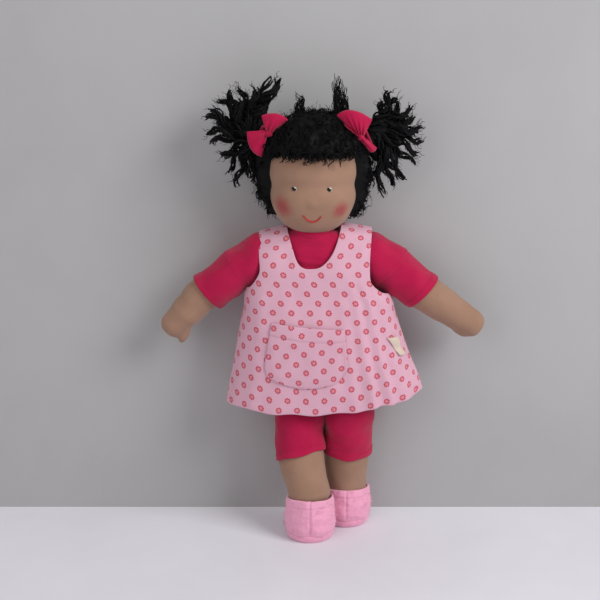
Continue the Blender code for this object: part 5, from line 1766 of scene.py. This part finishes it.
def sew_shorts_leg(side):
    """One leg of the shorts with its hem."""
    _, right, front = leg_ways(side)
    hem_line = SHORTS_LENGTH - SHORTS_HEM

    def spot_at(angle, reach, radius):
        return about(leg_middle(side, reach), right, front, radius, angle)

    def slant(angle, reach):
        across, whole, ahead = HEM_SLANTS[side]
        lifted = whole + across * cos(angle) + ahead * ease(sin(angle), 0.0, 0.9)
        wave = 0.0004 * sin(5 * angle) * ease(reach, 0.03, 0.04)
        return lifted * ease(reach, 0.012, SHORTS_LENGTH) + wave

    def lay(u, v):
        reach, radius = sleeve_profile(v, SHORTS_RADII, SHORTS_LENGTH)
        angle = tau * u
        inner = max(cos(angle) * -SIDES[side], 0.0)
        fold = 0.0012 * sin(reach / 0.0062 + 3.0 * angle) * hump(reach, 0.012, 0.015)
        hem = 0.0005 * ease(reach, hem_line - 0.0006, hem_line)
        hem -= 0.0004 * hump(reach, hem_line - 0.0002, 0.0005)
        flare = 0.0006 * sin(3 * angle + 1.0) * ease(reach, 0.020, SHORTS_LENGTH)
        spot = spot_at(angle, reach, max(radius, 0.00001))
        rolls = fold * (0.4 + 0.6 * inner) + hem + flare + uneven(spot, 0.012, 0.0010)
        lift = rolls * ease(radius, 0.006, 0.016)
        return spot_at(angle, reach + slant(angle, reach), max(radius + lift, 0.00001))

    leg = cut_sheet("shorts_leg_cloth_" + side, 0.131, 0.073, 96, 84, lay, leg_middle(side, 0.01))
    thicken(leg, JERSEY_THICK)
    path = []
    for step in range(97):
        angle = tau * step / 96
        radius = SHORTS_RADII[1] + 0.0006 + 0.0006 * sin(3 * angle + 1.0)
        path.append(spot_at(angle, hem_line + slant(angle, hem_line), radius))
    stitches = sew_line("shorts_stitches_" + side, path, *JERSEY_STITCH)
    hang(leg, "leg_" + side, "jersey", "shorts_leg_" + side)
    hang(stitches, "leg_" + side, "crimson_thread")


def stuff_leg(side):
    """The stuffed leg down to the foot inside the shoe."""
    length = (ANKLES[side] - HIPS[side]).length
    ankle = leg_middle(side, length)
    foot = Vector((ankle.x, ankle.y, 0.0078))
    _, right, front = leg_ways(side)

    def lay(way):
        share = (1.0 - way.z) / 2.0
        turn = atan2(way.y, way.x)
        total = 0.0170 + length + (ankle.z - foot.z)
        reach = total * share - 0.0170
        if reach < length:
            radius = along_list(LEG_RADII, reach / length)
            if reach < 0:
                radius *= sqrt(max(1.0 - (reach / 0.0170) ** 2, 0.0))
            middle = leg_middle(side, reach)
        else:
            over = (reach - length) / (ankle.z - foot.z)
            radius = LEG_RADII[-1] * sqrt(max(1.0 - max(over - 0.60, 0.0) ** 2 / 0.40**2 * 0.999, 0.0))
            middle = ankle.lerp(foot, over)
        radius *= 1.0 - 0.11 * ease((SHOE_RIMS[side] - middle.z) / 0.0060)
        spot = middle + right * (radius * cos(turn)) + front * (radius * sin(-turn))
        out = (spot - middle).normalized() if radius > 1e-6 else Vector((0, 0, 0))
        return spot + out * (uneven(spot, 0.011, 0.0006) - 0.0004 * hump(reach, length * 0.82, 0.004))

    leg = stuff_ball("leg_" + side, 56, 90, lay)
    fill_out(leg, 0.0016, 0.0005)
    line = [leg_middle(side, length * step / 30) for step in range(-8, 31)]
    line += [ankle.lerp(foot, step / 12) for step in range(1, 13)]
    measure_round(leg, line, 0.0185)
    hang(leg, "leg_" + side, "skin", "leg_skin_" + side, "leg_wool_" + side)


def cut_shoe(side):
    """One fleece shoe: a rounded bottom, an upper with a front seam and a folded cuff, and its stitches."""
    middle = leg_middle(side, (ANKLES[side] - HIPS[side]).length)
    x, y = middle.x, middle.y
    seam, wide, deep = SHOE[0]
    half_front = SHOE[1][2]

    def sole_lay(way):
        turn = atan2(way.y, way.x)
        flat_share = sqrt(max(1.0 - way.z**2, 0.0))
        if way.z > 0:
            high, full = seam + 0.0004 * way.z, flat_share
        elif way.z > -0.5:
            angle = -way.z * pi
            high, full = seam * (1.0 - sin(angle)), 0.85 + 0.15 * cos(angle)
        else:
            high, full = 0.0, 0.85 * flat_share / sqrt(0.75)
        spot = around(x, y, (wide - 0.0003) * full, (deep - 0.0003) * full, turn, high)
        return spot + Vector((0, 0, max(uneven(spot, 0.006, 0.0003), -high) * ease(high, 0.0, 0.003)))

    sole = stuff_ball("shoe_bottom_" + side, 96, 44, sole_lay)
    hang(sole, "shoe_" + side, "fleece", "shoe_sole_" + side)

    def outline(turn, height, grow):
        half_width, half_length = between(SHOE, height)
        return around(x, y, half_width + grow, half_length + grow, turn, height)

    def lay(u, v):
        turn = tau * u - pi / 2
        loop = v * 2.0
        rim = SHOE_RIMS[side] - 0.0026 * sin(turn) + uneven((u * 9, 2.0, 1.0), 1.0, 0.0008)
        low = seam - 0.0002
        height = low + (rim - low) * (loop if loop <= 1.0 else 2.0 - loop)
        front = remainder(turn + pi / 2, tau) * half_front
        seamed = ease(height, 0.008, 0.011)
        cuff = rim - 0.0068
        spot = outline(turn, height, 0.0)
        grow = uneven(spot, 0.009, 0.0013) + uneven(spot, 0.003, 0.0003)
        grow += 0.0005 * ease(height, cuff, cuff + 0.0014) - 0.0002 * hump(height, cuff, 0.0009)
        if loop <= 1.0:
            grow -= 0.0004 * hump(height, seam, 0.0006)
            grow += (0.0002 * hump(abs(front), 0.0020, 0.0013) - 0.0011 * hump(front, 0.0, 0.0005)) * seamed
            grow -= 0.0010 * ease(height, rim - 0.0012, rim)
        else:
            grow -= 0.0026 - 0.0016 * ease(height, rim - 0.0014, rim)
        return outline(turn, height, grow)

    upper = cut_sheet("shoe_fleece_" + side, 0.128, 0.062, 144, 104, lay, (x, y, 0.018))
    tidy_faces(upper)
    close_edges(upper, bridge=True)
    ring = [outline(tau * step / 96, 0.0072, -0.0008) for step in range(97)]
    stitches = sew_line("shoe_stitches_" + side, ring, *SHOE_STITCH)
    dice = random.Random(17)
    fuzz = []
    for _ in range(bpy.context.scene.doll_cloths.shoe_fibres):
        turn = dice.uniform(0, tau)
        top = SHOE_RIMS[side] - 0.0026 * sin(turn)
        out = Vector((cos(turn), sin(turn), 0))
        way = (out * 0.8 + any_way(dice)).normalized()
        root = outline(turn, dice.uniform(0.0030, top), -0.0002)
        fuzz.append(curl(root, way, out, dice.uniform(0.0012, 0.0028), 0.0003, 0.0003,
                         dice.uniform(0.00005, 0.00009), dice, 5))
    nap = spin_threads("shoe_nap_" + side, fuzz, 0)
    hang(nap, "shoe_" + side, "fleece")
    hang(upper, "shoe_" + side, "fleece", "shoe_upper_" + side)
    hang(stitches, "shoe_" + side, "rose_thread")


# Stage


CAMERA_PLACE = Vector((-0.01483, -0.9950, 0.4660))
CAMERA_TILT = radians(75.0)
CAMERA_LENS = 75.0
LIGHT_AIM = Vector((0, 0, 0.20))


def plain_finish(name, colour, roughness, one_sided):
    """Return the painted finish of the floor or the backdrop; a one-sided sheet only shows on its front."""
    material, tree, shader = new_material(name)
    place = tree.nodes.new("ShaderNodeTexCoord").outputs["Object"]
    slow = soften(tree, speckle(tree, place, 6.0, 4.0, 0.6), 0.3, 0.7)
    tone = blend_colours(tree, slow, colour, darker(colour, 0.94))
    tree.links.new(tone, shader.inputs["Base Color"])
    set_values(shader, {"Roughness": roughness, "Specular IOR Level": 0.2})
    if one_sided:
        seen = tree.nodes.new("ShaderNodeLightPath").outputs["Is Camera Ray"]
        rear = tree.nodes.new("ShaderNodeNewGeometry").outputs["Backfacing"]
        mix = tree.nodes.new("ShaderNodeMixShader")
        clear = tree.nodes.new("ShaderNodeBsdfTransparent")
        set_socket(tree, mix.inputs[0], reckon(tree, "MULTIPLY", seen, reckon(tree, "SUBTRACT", 1.0, rear)))
        tree.links.new(clear.outputs[0], mix.inputs[1])
        tree.links.new(shader.outputs[0], mix.inputs[2])
        tree.links.new(mix.outputs[0], tree.nodes["Material Output"].inputs["Surface"])
    return material


def set_stage():
    """The floor, the backdrop, the soft lights and the camera."""
    look = bpy.context.scene.doll_stage
    for name, size, place, turn, colour, roughness in (
        ("floor", (3.0, 1.2), (0, -0.56, 0), (0, 0, 0), list(look.floor), 0.7),
        ("backdrop", (3.0, 1.6), (0, 0.0400, 0.80), (pi / 2, 0, 0), list(look.wall), 0.9),
    ):
        put_down()
        bpy.ops.mesh.primitive_plane_add(size=1.0, location=place, rotation=turn)
        sheet = call_piece(name)
        sheet.scale = (*size, 1.0)
        bpy.ops.object.transform_apply(location=True, rotation=True, scale=True)
        sheet.data.materials.append(plain_finish(name, colour, roughness, name == "backdrop"))
    scene = bpy.context.scene
    camera = bpy.data.cameras.new("camera")
    camera.sensor_width = 36.0
    camera.lens = CAMERA_LENS
    camera.clip_start = 0.05
    eye = bpy.data.objects.new("camera", camera)
    scene.collection.objects.link(eye)
    eye.location = CAMERA_PLACE + ORIGIN
    eye.rotation_euler = (CAMERA_TILT, 0, 0)
    scene.camera = eye
    for name, place, size, power in (
        ("window_light", (0.95, -0.75, 1.00), 0.7, look.key_power),
        ("sky_light", (-0.8, -1.1, 0.8), 1.1, look.fill_power),
    ):
        lamp = bpy.data.lights.new(name, "AREA")
        lamp.size = size
        lamp.energy = power
        thing = bpy.data.objects.new(name, lamp)
        scene.collection.objects.link(thing)
        thing.location = place
        thing.rotation_euler = (LIGHT_AIM - Vector(place)).to_track_quat("-Z", "Y").to_euler()
    world = bpy.data.worlds.new("room")
    world.use_nodes = True
    set_values(world.node_tree.nodes["Background"],
               {"Color": (1.0, 0.99, 0.98, 1.0), "Strength": look.room_strength})
    scene.world = world
    scene.view_settings.view_transform = "Standard"


# Settings that a user would change


def colour_setting(name, words, red, green, blue):
    """Return a colour setting with its colour as on a paint card, 0 to 255."""
    return FloatVectorProperty(name=name, description=words, default=colour_of(red, green, blue),
                               subtype="COLOR", min=0, max=1)


class DollCloths(bpy.types.PropertyGroup):
    """Colours and print of the doll's cloths."""

    skin: colour_setting("Skin jersey", "Colour of the head, arms and legs", 156, 121, 101)
    blush: colour_setting("Blush", "Colour rubbed on the cheeks", 154, 68, 66)
    jersey: colour_setting("Clothes jersey", "Colour of the shirt, shorts and bows", 176, 12, 66)
    pinafore: colour_setting("Pinafore cotton", "Ground colour of the printed cotton", 211, 164, 182)
    fleece: colour_setting("Shoe fleece", "Colour of the shoes", 230, 160, 188)
    rosette_ring: colour_setting("Rosette petals", "Colour of the printed petals", 182, 38, 76)
    rosette_centre: colour_setting("Rosette centre", "Colour of the printed centres", 224, 122, 108)
    hair: colour_setting("Hair yarn", "Colour of the hair", 6, 6, 8)
    rosette_across: FloatProperty(name="Rosettes apart", description="Distance between rosettes in a row",
                                  default=0.0150, min=0.005, unit="LENGTH")
    rosette_down: FloatProperty(name="Rows apart", description="Distance between rows of rosettes",
                                default=0.0077, min=0.003, unit="LENGTH")
    rosette_radius: FloatProperty(name="Rosette radius", description="Radius of one rosette",
                                  default=0.0025, min=0.0005, unit="LENGTH")
    shoe_fibres: IntProperty(name="Shoe fibres", description="Loose fibres on each fleece shoe",
                             default=1100, min=0)


class DollHair(bpy.types.PropertyGroup):
    """How much hair is knotted in."""

    cap_locks: IntProperty(name="Cap locks", description="Small locks spread over the head",
                           default=980, min=50)
    cap_fibres: IntProperty(name="Cap fibres", description="Loose fibres spread over the head",
                            default=1900, min=0)
    fringe_locks: IntProperty(name="Fringe locks", description="Small locks along the fringe",
                              default=64, min=5)
    lock_strands: IntProperty(name="Strands in a lock", description="Yarn strands in each lock",
                              default=9, min=3)
    lock_fibres: IntProperty(name="Fibres on a lock", description="Loose fibres on each lock",
                             default=42, min=0)
    inner_locks: IntProperty(name="Inner locks", description="Shorter locks in a bunch",
                             default=12, min=0)


class DollStage(bpy.types.PropertyGroup):
    """Light and background."""

    floor: colour_setting("Floor", "Colour of the floor", 222, 220, 228)
    wall: colour_setting("Backdrop", "Colour of the backdrop", 168, 167, 168)
    key_power: FloatProperty(name="Window light", description="Power of the main light",
                             default=15.5, unit="POWER")
    fill_power: FloatProperty(name="Sky light", description="Power of the second light",
                              default=5.0, unit="POWER")
    room_strength: FloatProperty(name="Room light", description="Strength of the light from all round",
                                 default=0.45)


# One operator for each piece or group of like pieces


def make_operator(idname, label, words, *steps):
    """Return an operator class that runs the given steps."""
    def execute(self, context):
        for step in steps:
            step()
        return {"FINISHED"}

    return type("DOLL_OT_" + idname, (bpy.types.Operator,), {
        "bl_idname": "doll." + idname, "bl_label": label, "__doc__": words, "execute": execute,
        "bl_options": {"REGISTER", "UNDO"},
    })


def both(step):
    """Return a step that is done for the left and the right side."""
    return lambda: [step(side) for side in SIDES]


OPERATORS = (
    make_operator("stage", "Stage", "Set the floor, backdrop, lights and camera", set_stage),
    make_operator("head", "Head", "Stuff the head", sew_head),
    make_operator("face", "Face", "Embroider the eyes and the mouth", sew_face),
    make_operator("hair_cap", "Hair cap", "Knot the yarn cap and the crown tufts",
                  knot_hair_cap, tie_crown_tufts),
    make_operator("bunches", "Bunches", "Tie the two bunches of hair", both(tie_bunch)),
    make_operator("bows", "Bows", "Fold and tie the two bows", both(tie_bow)),
    make_operator("trunk", "Trunk and neck", "Stuff the trunk and tie the neck", sew_trunk),
    make_operator("shirt", "Shirt", "Sew the shirt and its neckband", sew_shirt),
    make_operator("arms", "Arms", "Stuff the arms", both(stuff_arm)),
    make_operator("sleeves", "Sleeves", "Sew the sleeves", both(sew_sleeve)),
    make_operator("dress", "Dress", "Sew the front and the back of the dress",
                  lambda: sew_panel("front"), lambda: sew_panel("back")),
    make_operator("pocket", "Pocket and tape", "Sew the patch pocket and the side tape",
                  sew_pocket, sew_label),
    make_operator("legs", "Legs", "Stuff the legs", both(stuff_leg)),
    make_operator("shorts", "Shorts", "Sew the shorts", sew_shorts),
    make_operator("shoes", "Shoes", "Cut and sew the shoes", both(cut_shoe)),
)


class DOLL_PT_bench(bpy.types.Panel):
    """Lists the steps of making the doll."""

    bl_label = "Soft doll"
    bl_idname = "DOLL_PT_bench"
    bl_space_type = "VIEW_3D"
    bl_region_type = "UI"
    bl_category = "Doll"

    def draw(self, context):
        for operator in OPERATORS:
            self.layout.operator(operator.bl_idname)
        for settings in (context.scene.doll_cloths, context.scene.doll_hair, context.scene.doll_stage):
            for name in settings.__annotations__:
                self.layout.prop(settings, name)


CLASSES = (DollCloths, DollHair, DollStage, *OPERATORS, DOLL_PT_bench)


def register():
    """Add the classes and the scene's settings."""
    for item in CLASSES:
        bpy.utils.register_class(item)
    bpy.types.Scene.doll_cloths = PointerProperty(type=DollCloths)
    bpy.types.Scene.doll_hair = PointerProperty(type=DollHair)
    bpy.types.Scene.doll_stage = PointerProperty(type=DollStage)


def unregister():
    """Take the classes and settings away."""
    del bpy.types.Scene.doll_stage
    del bpy.types.Scene.doll_hair
    del bpy.types.Scene.doll_cloths
    for item in reversed(CLASSES):
        bpy.utils.unregister_class(item)


def main():
    """Make the whole doll, and write down its size before and after."""
    register()
    for name in ("stage", "head", "face", "hair_cap", "bunches", "bows", "trunk", "shirt", "arms", "sleeves",
                 "dress", "pocket", "legs", "shorts", "shoes"):
        getattr(bpy.ops.doll, name)()
    put_down()


if __name__ == "__main__":
    main()
